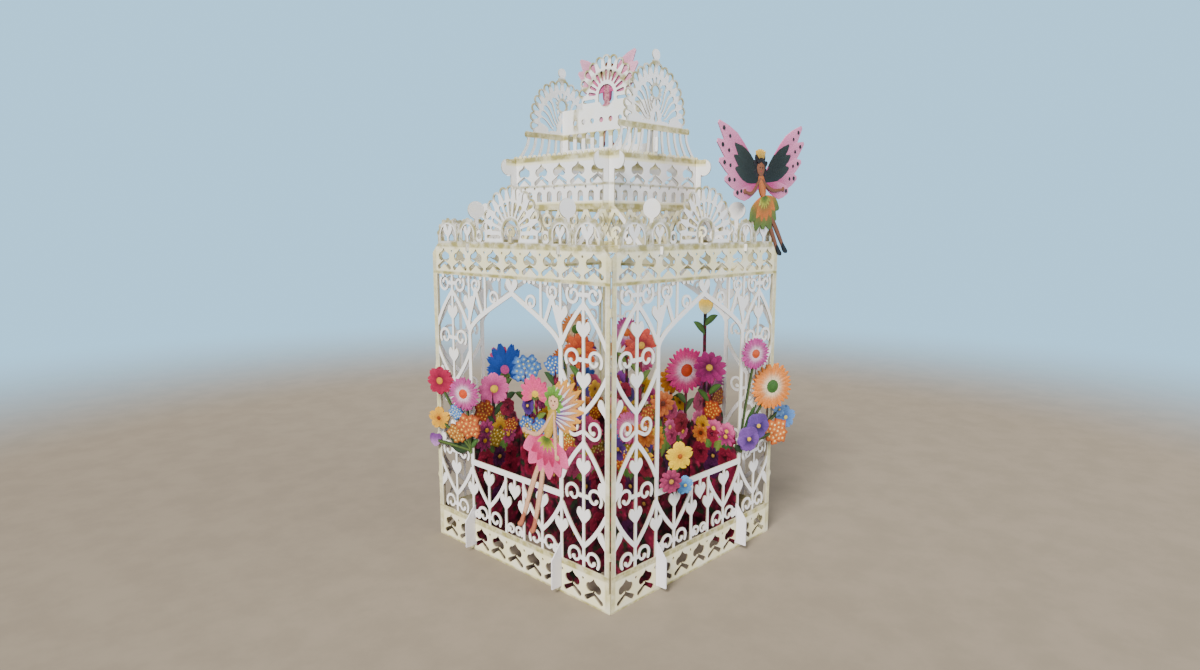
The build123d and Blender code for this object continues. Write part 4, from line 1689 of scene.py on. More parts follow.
    def pattern(self) -> CutSheet:
        """Full outline of one wall, the same on both halves.

        Returns:
            The sheet, before its edges are fitted to the fold.
        """
        sheet = CutSheet(-HALF, HALF, 0.0, self.crest_top)
        right = [(HALF, 0.0), (HALF, WALL_HEIGHT - self.corner_cut), (HALF - self.corner_cut, WALL_HEIGHT)]
        left = [(-x, z) for x, z in reversed(right)]
        sheet.add([Outline(np.array(right + left))])
        self._crest(sheet)
        sheet.cut([Strip(-self.column_out, self.column_out, self.lattice_foot, self.lattice_top)])
        sheet.add(self._lattice(), BLEND)
        sheet.add(self._hearts(), self.heart_blend)
        sheet.add([Strip(-self.column_in, self.column_in, self.sill_foot, SILL_TOP)], BLEND)
        sheet.add([Grown(self.window(), self.window_rim)])
        sheet.cut([self.window()])
        pitch, beads = 2 * self.column_out / self.spades, self.spades // 2
        for foot in self.spade_feet:
            for k in range(beads + 1):
                sheet.cut(spade_cut(k * pitch, foot, self.spade_width, self.spade_height))
                sheet.cut([Disc((k + 0.5) * pitch, foot + self.bead_level, self.bead)] if k < beads else [])
        for low, high in self.slots:
            sheet.cut([Strip(CROSS_AT - SLOT / 2, CROSS_AT + SLOT / 2, low - PLAY, high + PLAY)])
        sheet.mirror()
        return sheet

    def dress(self, mesh: CardMesh, pattern: CutSheet, side: Side, fold: int, end_trim: float,
              fold_trim: float) -> None:
        """Fits one wall's edges to the fold and the glued end, and adds it to the piece.

        Args:
            mesh: Piece that the wall is part of.
            pattern: Outline of a wall.
            side: Side of the card.
            fold: One if the fold is at the right-hand edge seen from outside, minus one at the left.
            end_trim: Width taken off the other edge.
            fold_trim: Width taken off the folded edge.
        """
        sheet = pattern.copy()
        far = 2 * HALF
        left, right = fold * HALF - self.slit_half, fold * HALF + self.slit_half
        cuts = [Strip(left, right, low, high) for low, high in self.slits]
        cuts.append(strip_between(fold * (HALF - fold_trim), fold * far, *self.trim_span))
        if end_trim:
            cuts.append(strip_between(-fold * (HALF - end_trim), -fold * far, *self.trim_span))
        sheet.cut(cuts)
        mesh.add_sheet(sheet, SheetPlane(side, HALF - CARD / 2))

    def build(self, card: bpy.types.Material) -> None:
        """Makes the front and the rear sheet, the rear one with its glue flaps.

        Args:
            card: Finish of the walls.
        """
        pattern = self.pattern()
        front = CardMesh()
        self.dress(front, pattern, Side.LEFT, 1, 0.0, 0.0)
        self.dress(front, pattern, Side.RIGHT, -1, 0.0, CARD)
        finish_piece(front.build("cut_front_walls", [card]), "front_walls")
        rear = CardMesh()
        self.dress(rear, pattern, Side.REAR_RIGHT, 1, CARD, 0.0)
        self.dress(rear, pattern, Side.REAR_LEFT, -1, CARD, CARD)
        for side, end in ((Side.LEFT, -1), (Side.RIGHT, 1)):
            area = strip_between(end * (HALF - self.border - self.overlap), end * HALF, 0, WALL_HEIGHT)
            flap = CutSheet(area.left, area.right, area.foot, area.head)
            inner, outer = end * (HALF - self.border), end * (HALF - CARD)
            flap.add([strip_between(inner, outer, 0.0, WALL_HEIGHT - self.corner_cut)])
            rear.add_sheet(flap, SheetPlane(side, HALF - 1.5 * CARD))
        finish_piece(rear.build("cut_rear_walls", [card]), "rear_walls")


@dataclass
class Roofs:
    """Four stepped roof sheets that cross, two of them with a cage and an open dome."""

    tier_half: float = 31.3
    knob_at: float = INNER_HALF - 3.6
    truss_bays: int = 4
    bar: float = 1.75
    dome_half: float = 19.8
    dome_top: float = 210.5
    rail_half: float = 56.3
    knob_top: float = 150.7
    tier_beads: int = 10
    bead_pitch: float = 3.13
    spade_foot: float = 161.4
    spade_width: float = 8.0
    spade_height: float = 9.0
    pane: tuple = (154.3, 3.1, 158.6)
    pane_bead: tuple = (159.9, 0.62)
    cage_half: float = 21.4
    cage_bars: int = 6
    bar_foot_pitch: float = 5.4
    bar_head_pitch: float = 4.12
    middle_bar: float = 3.0
    thin_bar: float = 1.25
    scallops: int = 14
    scallop: float = 1.95
    rosette_at: float = 199.0
    link_half: float = 27.8
    link_tab_half: float = 29.75

    def _tier(self, sheet: CutSheet) -> None:
        """Rail, truss, eaves, knobs, and the tier with its spades, beads and small windows.

        Args:
            sheet: Outline that they are worked into.
        """
        sheet.add([Strip(-self.rail_half, self.rail_half, RAIL_FOOT, RAIL_TOP)])
        sheet.add([Strip(-self.tier_half, self.tier_half, TIER_FOOT, TIER_TOP)])
        bay = 2 * self.tier_half / self.truss_bays
        for x in (0.5 * bay, 1.5 * bay):
            for side in (-1, 1):
                strut = np.array([(x, RAIL_TOP), (x + side * bay / 2, TIER_FOOT)])
                sheet.add([Stroke(strut, self.bar)], KNOB_BLEND)
            sheet.add([Stroke(arc(x, TIER_FOOT - 4.4, 2.3, 0, 360, 29), 1.2)], KNOB_BLEND)
            sheet.add([Disc(x, TIER_FOOT - 0.8, 1.0)], KNOB_BLEND)
        eave = bezier((self.knob_at - 4.2, RAIL_TOP - 1.0), (42.0, 139.0), (36.0, 149.0),
                      (27.8, TIER_FOOT + 2.0), 15)
        sheet.add([Stroke(eave, self.bar)], KNOB_BLEND)
        sheet.add(scroll(38.9, 139.8, 2.7, 260, 420) + scroll(32.6, 141.2, 2.9, 220, -400), BLEND)
        sheet.add([Stroke(np.array([(32.6, 136.0), (32.6, 139.0)]), 1.2)], BLEND)
        sheet.add([Stroke(np.array([(self.knob_at, RAIL_FOOT + 1), (self.knob_at, self.knob_top)]), 1.9)])
        knobs = [Disc(self.knob_at, self.knob_top, 4.2, 3.7),
                 Disc(self.tier_half + 1.7, TIER_TOP - 3.5, 3.5)]
        sheet.add(knobs, KNOB_BLEND)
        sheet.add([Disc(k * self.bead_pitch, TIER_TOP, 1.2) for k in range(self.tier_beads)], BLEND)
        for k in range(3):
            sheet.cut(spade_cut(k * 2 * CROSS_AT / 5, self.spade_foot, self.spade_width, self.spade_height))
        pitch = 2 * CROSS_AT / 9
        sheet.cut([arch(k * pitch, *self.pane) for k in range(5)])
        sheet.cut([Disc((k + 0.5) * pitch, *self.pane_bead) for k in range(4)])

    def _cage(self, sheet: CutSheet) -> None:
        """Flared bars, rail, dome with rays, rosette and drops, and a finial.

        Args:
            sheet: Outline that they are worked into.
        """
        for k in range(self.cage_bars):
            foot, head = k * self.bar_foot_pitch, k * self.bar_head_pitch
            width = self.middle_bar if k == 0 else self.thin_bar
            bar = bezier((foot, TIER_TOP - 0.4), (foot * 0.86, TIER_TOP + 3.6),
                         (head, TIER_TOP + 6.5), (head, CAGE_TOP + 0.4), 9)
            sheet.add([Stroke(bar, width)], BLEND)
        sheet.add([Strip(-self.cage_half, self.cage_half, CAGE_TOP, DOME_FOOT)])
        sheet.add([Disc(self.cage_half, CAGE_TOP + 1.25, 1.5)])
        centre = self.dome_top - self.dome_half
        rim = self.dome_half - 1.9
        dome = Outline(arc(0, centre, rim, 0, 180, 41))
        sheet.add([dome, Strip(-rim, rim, DOME_FOOT - 0.3, centre + 0.2)])
        count = self.scallops
        angles = np.radians(np.arange(-1, count + 1) * 180.0 / count + 0.5 * 180 / count)
        cx, sz = np.cos(angles), np.sin(angles)
        sheet.add([Disc(rim * c, centre + rim * s, self.scallop) for c, s in zip(cx, sz)], BLEND)
        sheet.cut(spokes(centre, angles, rim - 2.3, rim - 0.1, 1.0, 2.5))
        for k, angle in enumerate(np.radians((3.0, 17.0, 31.0, 46.0, 62.0))):
            reach = 12.9 - 0.25 * k
            end = (reach * np.cos(angle), centre + reach * np.sin(angle))
            root = (2.4 + 0.9 * (4 - k), 187.6 + 1.1 * k)
            ray = bezier(root, (root[0] + 2.0, root[1] + 0.5 * k), (0.72 * end[0], end[1] - 1.0), end, 9)
            sheet.cut([Stroke(ray, 0.8, 2.5 - 0.12 * k)])
        sheet.cut([Disc(0, self.rosette_at, 2.3)])
        teeth = np.radians(np.arange(0, 360, 30))
        sheet.cut(spokes(self.rosette_at, teeth, 3.5, 5.1, 0.75, 1.15))
        sheet.cut([Stroke(np.array([(0, 188.0), (0, 190.6)]), 2.6, 0.9)])
        sheet.cut([Disc(4.6, 188.4, 1.2), Disc(8.2, 187.6, 0.9)])
        finial = np.array([(0, self.dome_top - 1), (0, 212.0)])
        sheet.add([Stroke(finial, 1.8), Disc(0, 210.9, 2.3, 0.8), Disc(0, 213.6, 2.3, 2.2)], BLEND)
        sheet.cut([Strip(-SLOT / 2, SLOT / 2, LINK_FOOT, LINK_FOOT + 6.3)])

    def pattern(self, caged: bool) -> CutSheet:
        """Outline of one roof sheet.

        Args:
            caged: Whether the sheet carries a cage and a dome.

        Returns:
            The sheet.
        """
        sheet = CutSheet(-57.0, 57.0, RAIL_FOOT, 217.5 if caged else TIER_TOP + 1.5)
        self._tier(sheet)
        if caged:
            self._cage(sheet)
        middle = (TIER_FOOT + TIER_TOP) / 2
        low, high = (RAIL_FOOT - 1.0, middle) if caged else (middle - PLAY, CAGE_TOP)
        sheet.cut([Strip(CROSS_AT - SLOT / 2, CROSS_AT + SLOT / 2, low, high)])
        sheet.mirror()
        return sheet

    def build(self, card: bpy.types.Material) -> None:
        """Makes the four sheets and the panel that links the cages.

        Args:
            card: Finish of the roofs.
        """
        plain, caged = self.pattern(False), self.pattern(True)
        for side in Side:
            sheet = caged if side in (Side.RIGHT, Side.REAR_LEFT) else plain
            mesh = CardMesh()
            mesh.add_sheet(sheet, SheetPlane(side, CROSS_AT))
            node = f"roof_{side.name.lower()}"
            finish_piece(mesh.build(f"cut_{node}", [card]), node)
        link = CutSheet(-30.0, 30.0, LINK_FOOT, 219.0)
        link.add([Strip(-self.link_half, self.link_half, LINK_FOOT, LINK_TOP)])
        link.add([Strip(-self.link_tab_half, self.link_tab_half, LINK_FOOT + PLAY, LINK_FOOT + 6.15)])
        sunburst(link, LINK_TOP + 4.3, LINK_TOP - 0.5, 17.2, 4.7, 11)
        link.cut([arch(x, 178.6, 3.4, 185.8) for x in (0.0, 5.6, 11.2, 16.8, 22.4)])
        link.cut([Disc(x, 190.6, 1.2) for x in (2.8, 8.4, 14.0, 19.6)])
        link.mirror()
        mesh = CardMesh()
        mesh.add_sheet(link, SheetPlane(Side.LEFT, 0.0))
        finish_piece(mesh.build("cut_crown_link", [card]), "crown_link")


GERBERA, DAISY, COSMOS, CLUSTER = BloomKind.GERBERA, BloomKind.DAISY, BloomKind.COSMOS, BloomKind.CLUSTER
PANSY, ROSE, TULIP, PRIMROSE = BloomKind.PANSY, BloomKind.ROSE, BloomKind.TULIP, BloomKind.PRIMROSE
PROFILE = BloomKind.PROFILE

PALETTE = (
    (CLUSTER, "c8642c", "8e3518", "f0c84a"), (PRIMROSE, "d9a428", "a8671a", "6b3a12"),
    (PANSY, "5b3a8c", "24123f", "f2c230"), (ROSE, "c24a72", "6e1636", "6e1636"),
    (CLUSTER, "5f8fd0", "2f56a0", "f4e08a"), (DAISY, "b8447c", "6a1a4a", "f0b030"),
    (COSMOS, "e0699a", "a02a5c", "f2c83c"), (ROSE, "a02a44", "4a0c1c", "4a0c1c"),
    (CLUSTER, "b5922e", "6e5a1a", "e8d890"), (DAISY, "e08a3c", "a8441c", "5a2a10"),
)

SHADED = (("7a1830", "2c0510"), ("4a1a44", "1c081e"), ("8a2038", "30060f"))


def corner_turn(side: Side, turn: float = 23.0) -> float:
    """Bend in degrees that makes flower heads on a side look towards the folded corner beside it."""
    return turn if side in (Side.RIGHT, Side.REAR_LEFT) else -turn


@dataclass
class Gardens:
    """Four inner sheets, each a dark printed bank with flowers rising above it."""

    height: float = 44.0

    def _tall(self, side: Side) -> list[Bloom]:
        """Flowers on long stems, most of them at the places of the solids' flower heads.

        Args:
            side: Side of the card.

        Returns:
            The flowers.
        """
        blooms = {
            Side.LEFT: [
                Bloom(-40.2, 83.0, 6.2, PROFILE, "d0386c", "8e1a44", "8e1a44"),
                Bloom(-37.8, 80.4, 9.6, PROFILE, "1f4fae", "122c70", "c04a8c"),
                Bloom(-16.5, 71.2, 6.8, PROFILE, "e84c86", "f0a05a", "f2c83c"),
                Bloom(12.0, 91.9, 7.5, DAISY, "e0622e", "a82a1a", "f0b83c"),
                Bloom(41.0, 63.9, 7.0, GERBERA, "c4508a", "f2dce4", "e0642c"),
                Bloom(-4.0, 84.0, 4.6, CLUSTER, "4f86cc", "26509a", "f2e49a"),
            ],
            Side.RIGHT: [
                Bloom(24.0, 78.7, 10.6, GERBERA, "d81e78", "fae0ea", "e0481c"),
                Bloom(43.0, 71.9, 8.0, GERBERA, "a03c86", "d88cb4", "e08a3c"),
                Bloom(-8.0, 93.9, 8.0, DAISY, "d8503c", "8e2030", "e8b040"),
                Bloom(-40.0, 61.9, 7.0, COSMOS, "c8406c", "7a1a3c", "f0c040"),
                Bloom(7.0, 66.0, 6.0, DAISY, "d8783a", "9a3418", "6a2a10"),
            ],
            Side.REAR_RIGHT: [
                Bloom(-38.5, 80.8, 7.6, DAISY, "b02a78", "6e1648", "f0b83c"),
                Bloom(-16.5, 71.6, 6.5, DAISY, "d88a2c", "9a4a18", "5a2810"),
                Bloom(12.0, 91.9, 7.5, GERBERA, "b83c8c", "f0d4e2", "e07030"),
                Bloom(41.0, 63.9, 7.0, DAISY, "3c62b4", "1c2e70", "f0d060"),
                Bloom(-35.4, 108.0, 3.6, TULIP, "f0c030", "e8e0a0", "f0c030"),
            ],
            Side.REAR_LEFT: [
                Bloom(24.0, 78.7, 7.0, CLUSTER, "74a8e4", "3c68b4", "f4e89a"),
                Bloom(43.0, 71.9, 7.5, COSMOS, "d8609a", "8e2a5c", "f2c83c"),
                Bloom(-8.0, 93.9, 8.0, GERBERA, "e0823c", "f4dcb0", "4f7a30"),
                Bloom(-40.0, 61.9, 7.0, DAISY, "8a3c98", "4a1a5c", "f0b83c"),
            ],
        }
        return blooms[side]

    def _bank(self, printer: Printer) -> list[Bloom]:
        """Low flowers packed above the bank and dark ones down its face, clear of the crossing sheets.

        Args:
            printer: Printer whose random draws are used.

        Returns:
            The flowers.
        """
        rows = ((22.0, 0.0), (33.0, 1.6), (41.5, -1.2), (48.5, 1.4), (55.0, -1.4), (61.5, 0.8))
        bays = (-48.2, -41.3, -34.6, -21.6, -13.4, -4.6, 4.4, 13.0, 21.6, 34.6, 41.3, 48.2)
        blooms = []
        for row, (z, lean) in enumerate(rows):
            for column, x in enumerate(bays):
                if (row + column) % 2 and row in (0, 1, 5):
                    continue
                kind, petal, root, middle = PALETTE[int(printer.draw.integers(len(PALETTE)))]
                if z < 45.0:
                    petal, root = SHADED[column % 3]
                    kind, middle = (ROSE if (row + column) % 3 else DAISY), "a8803c"
                drift = printer.draw.uniform(-0.7, 0.7, 2)
                size = printer.draw.uniform(4.2, 5.4)
                place = (x + drift[0] + 0.4 * lean, z + drift[1] + lean)
                blooms.append(Bloom(*place, size, kind, petal, root, middle))
        return blooms

    def _sheet(self, side: Side, tall: Sequence[Bloom], low: Sequence[Bloom],
               draw: np.random.Generator) -> CutSheet:
        """Outline: bank with a leafy top, stems, backing behind each head, fins, and half slots.

        Args:
            side: Side of the card.
            tall: Flowers on long stems.
            low: Flowers of the bank.
            draw: Random draws for the leafy top.

        Returns:
            The sheet.
        """
        sheet = CutSheet(-61.0, 61.0, 0.0, 114.0, 0.25)
        middle = self.height / 2
        sheet.add([Strip(-INNER_HALF, INNER_HALF, 0.0, self.height)])
        for end in (-1, 1):
            fin = [(0, 2.4), (60.0, 2.4), (60.0, 14.4), (55.0, 20.8), (0, 20.8)]
            sheet.add([Outline(np.array([(end * x, z) for x, z in fin]))])
        tops = np.linspace(-50.5, 50.5, 24)
        radii = draw.uniform(2.4, 3.9, len(tops))
        sheet.add([Disc(x, self.height, r, 3.4 * r) for x, r in zip(tops, radii)], KNOB_BLEND)
        for bloom in list(tall) + [b for b in low if b.z > 45]:
            bow = bezier((bloom.x, middle), (bloom.x - 1.5, middle + 12),
                         (bloom.x + 1.0, bloom.z - 8), (bloom.x, bloom.z), 13)
            sheet.add([Stroke(bow, 1.5)], BLEND)
        sheet.add([Disc(bloom.x, bloom.z, 0.62 * bloom.radius) for bloom in low if bloom.z > 45], BLEND)
        slot_from_top = side in (Side.LEFT, Side.REAR_RIGHT)
        low_end, high_end = (middle - PLAY, 120.0) if slot_from_top else (-2.0, middle)
        for end in (-1, 1):
            sheet.cut([Strip(end * CROSS_AT - SLOT / 2, end * CROSS_AT + SLOT / 2, low_end, high_end)])
        return sheet

    def _leaves(self, printer: Printer, tall: Sequence[Bloom]) -> None:
        """Leaves on the stems and along the top of the bank.

        Args:
            printer: Printer of the sheet.
            tall: Flowers on long stems.
        """
        greens = ("3d5a2a", "2a4424", "5a6e30", "47682f")
        for k, bloom in enumerate(tall):
            if abs(bloom.x) > 47.0:
                continue
            for end in (-1, 1):
                root = (bloom.x, bloom.z - bloom.radius - 7.0 - 2.0 * end)
                printer.leaf(root, (root[0] + end * 6.5, root[1] + 5.5), 1.5, greens[k % 4], 0.2 * end)
        for k, x in enumerate(np.linspace(-49.0, 49.0, 17)):
            if abs(abs(x) - CROSS_AT) > 5.0:
                tip = (x + printer.draw.uniform(-5.0, 5.0), self.height + printer.draw.uniform(7.0, 14.0))
                bend = printer.draw.uniform(-0.2, 0.2)
                printer.leaf((x, self.height - 3.0), tip, 2.3, greens[(k + 1) % 4], bend)

    def build(self, ground: bpy.types.Material, petals: bpy.types.Material) -> None:
        """Makes the four sheets.

        Args:
            ground: Finish of the printed bank.
            petals: Finish of the flowers.
        """
        for number, side in enumerate(Side):
            mesh, plane = CardMesh(), SheetPlane(side, CROSS_AT)
            printer = Printer(mesh, plane, 20 + number)
            tall, low = self._tall(side), self._bank(printer)
            mesh.add_sheet(self._sheet(side, tall, low, printer.draw), plane)
            self._leaves(printer, tall)
            printer.coarse = True
            for bloom in low:
                bloom.print_on(printer)
            printer.coarse = False
            for bloom in tall:
                bloom.print_on(printer, Bend(bloom.x, corner_turn(side), 0.0))
            node = f"garden_{side.name.lower()}"
            finish_piece(mesh.build(f"printed_{node}", [ground, petals]), node)


@dataclass
class Bunch:
    """Cut-out bunch of flowers glued to the outside of a wall."""

    node: str
    side: Side
    root: tuple
    blooms: Sequence[Bloom]
    leaves: Sequence[tuple]
    seed: int

    def build(self, stems: bpy.types.Material, petals: bpy.types.Material) -> None:
        """Makes the bunch.

        Args:
            stems: Finish of the stems.
            petals: Finish of the flowers.
        """
        mesh, plane = CardMesh(), SheetPlane(self.side, HALF + CARD / 2)
        heads = np.array([(b.x, b.z) for b in self.blooms])
        reach = max(b.radius for b in self.blooms) + 2.0
        low = np.vstack([heads - reach, [self.root]]).min(axis=0)
        high = np.vstack([heads + reach, [self.root]]).max(axis=0)
        sheet = CutSheet(low[0] - 2, high[0] + 2, low[1] - 4, high[1], 0.2)
        printer, turn = Printer(mesh, plane, self.seed, True), corner_turn(self.side)
        sheet.add([Stroke(np.array([self.root, (self.root[0], self.root[1] + 3.0)]), 3.2, 2.2)])
        for bloom in self.blooms:
            lean = 0.3 * (bloom.z - self.root[1])
            bow = bezier(self.root, (self.root[0], self.root[1] + lean), (bloom.x, bloom.z - lean),
                         (bloom.x, bloom.z), 15)
            printer.blade(bow, 0.8, ink("5d7437"), ink("27351c"), -0.03, 0.9, 0.5, bloom.stand_off(turn))
        for root, tip, width, green in self.leaves:
            line = np.array([root, tip], float)
            sheet.add([Stroke(line, 0.8 * width)], BLEND)
            printer.leaf(root, tip, width, green, 0.14)
        mesh.add_sheet(sheet, plane)
        for bloom in self.blooms:
            bloom.print_on(printer, Bend(bloom.x, turn, bloom.stand_off(turn)))
        finish_piece(mesh.build(f"printed_{self.node}", [stems, petals]), self.node)


def bunches() -> list[Bunch]:
    """The five bunches on the outside of the walls.

    Returns:
        The bunches, each with its own flowers.
    """
    left = [
        Bloom(-36.5, 62.5, 3.6, CLUSTER, "6fa0dc", "3a64ac", "f4e89a"),
        Bloom(-49.05, 57.5, 5.4, PRIMROSE, "eeb032", "d07a1c", "8a3c14"),
        Bloom(-46.75, 75.2, 6.7, COSMOS, "b01e48", "7a0c2c", "e8a030"),
        Bloom(-26.35, 58.1, 5.8, CLUSTER, "d0723a", "98401c", "f0c85a"),
        Bloom(-36.0, 53.0, 4.6, CLUSTER, "c88a3c", "8e4a1c", "f0d87a"),
        Bloom(-53.65, 45.9, 3.3, TULIP, "7a3f8c", "c08cc8", "7a3f8c"),
        Bloom(-28.75, 72.0, 7.4, GERBERA, "b8448a", "f4e0ea", "e0542a"),
    ]
    right = [
        Bloom(53.05, 50.1, 6.4, CLUSTER, "e0843c", "a84a1c", "f6e0a0"),
        Bloom(61.65, 55.1, 5.9, PRIMROSE, "6a9ada", "3c62b4", "f0d860"),
        Bloom(57.2, 59.5, 3.6, PRIMROSE, "7aa8e0", "3c62b4", "f0d860"),
        Bloom(38.0, 55.5, 6.0, PANSY, "6a4a9c", "2c1850", "f0c23a"),
        Bloom(30.65, 50.9, 5.8, PANSY, "7c50a4", "321a56", "f0c23a"),
        Bloom(33.35, 88.9, 7.0, GERBERA, "b03c86", "f0d8e4", "d85a2c"),
        Bloom(45.75, 72.7, 10.6, GERBERA, "e8842c", "f8e8c4", "3f6a2c"),
    ]
    posy = [
        Bloom(-14.05, 40.9, 4.0, PRIMROSE, "5fa0d8", "2f66b0", "f4e070"),
        Bloom(-23.65, 44.9, 5.0, DAISY, "a83c64", "5c1634", "d8a040"),
        Bloom(-18.85, 54.2, 6.0, PRIMROSE, "f4c824", "e09a18", "b05a14"),
    ]
    rear_right = [
        Bloom(49.05, 57.5, 5.4, CLUSTER, "5f8fd0", "2f56a0", "f4e08a"),
        Bloom(46.75, 75.2, 6.7, DAISY, "e0824a", "b0401e", "5a2a10"),
        Bloom(26.35, 58.1, 5.8, PRIMROSE, "f0c030", "d8861c", "8a4a14"),
        Bloom(53.0, 45.9, 3.3, TULIP, "c83c5c", "e8a0a8", "c83c5c"),
        Bloom(28.75, 72.0, 7.2, GERBERA, "d84a88", "f6dce6", "e06a2c"),
    ]
    rear_left = [
        Bloom(-47.6, 57.5, 5.2, PRIMROSE, "e8a838", "c8701c", "8a3c14"),
        Bloom(-45.9, 75.2, 6.5, COSMOS, "8c3f98", "4a1a5c", "f0c040"),
        Bloom(-26.35, 58.1, 5.8, CLUSTER, "c85a7c", "7a1e40", "f0d890"),
        Bloom(-28.75, 72.0, 7.2, GERBERA, "e0762c", "f8e4c0", "4a7030"),
    ]
    dark, mid = "22351f", "3a5a2a"
    leaves = {
        end: [((end * 31, 47), (end * 47, 50.5), 1.7, dark), ((end * 31, 46), (end * 44, 45.0), 1.6, dark),
              ((end * 30, 46.5), (end * 24, 51.5), 1.5, mid)]
        for end in (-1, 1)
    }
    return [
        Bunch("spray_left", Side.LEFT, (-29.65, 45.9), left, leaves[-1], 41),
        Bunch("spray_right", Side.RIGHT, (29.15, 45.9), right,
              [((30, 47), (44, 50.0), 1.8, dark), ((30, 46), (24.5, 48.5), 1.6, dark),
               ((31, 50), (40, 64), 1.5, mid)], 42),
        Bunch("posy_right", Side.RIGHT, (-20.65, 45.9), posy, [((-20.6, 46), (-14, 48), 1.4, mid)], 43),
        Bunch("spray_rear_right", Side.REAR_RIGHT, (29.65, 45.9), rear_right, leaves[1], 44),
        Bunch("spray_rear_left", Side.REAR_LEFT, (-29.65, 45.9), rear_left, leaves[-1], 45),
    ]


@dataclass(frozen=True)
class WingFan:
    """One wing: overlapping lobes by their angles, lengths and half width."""

    angles: tuple
    lengths: tuple
    half_width: float
    point: float = 0.0
    ribbed: bool = False


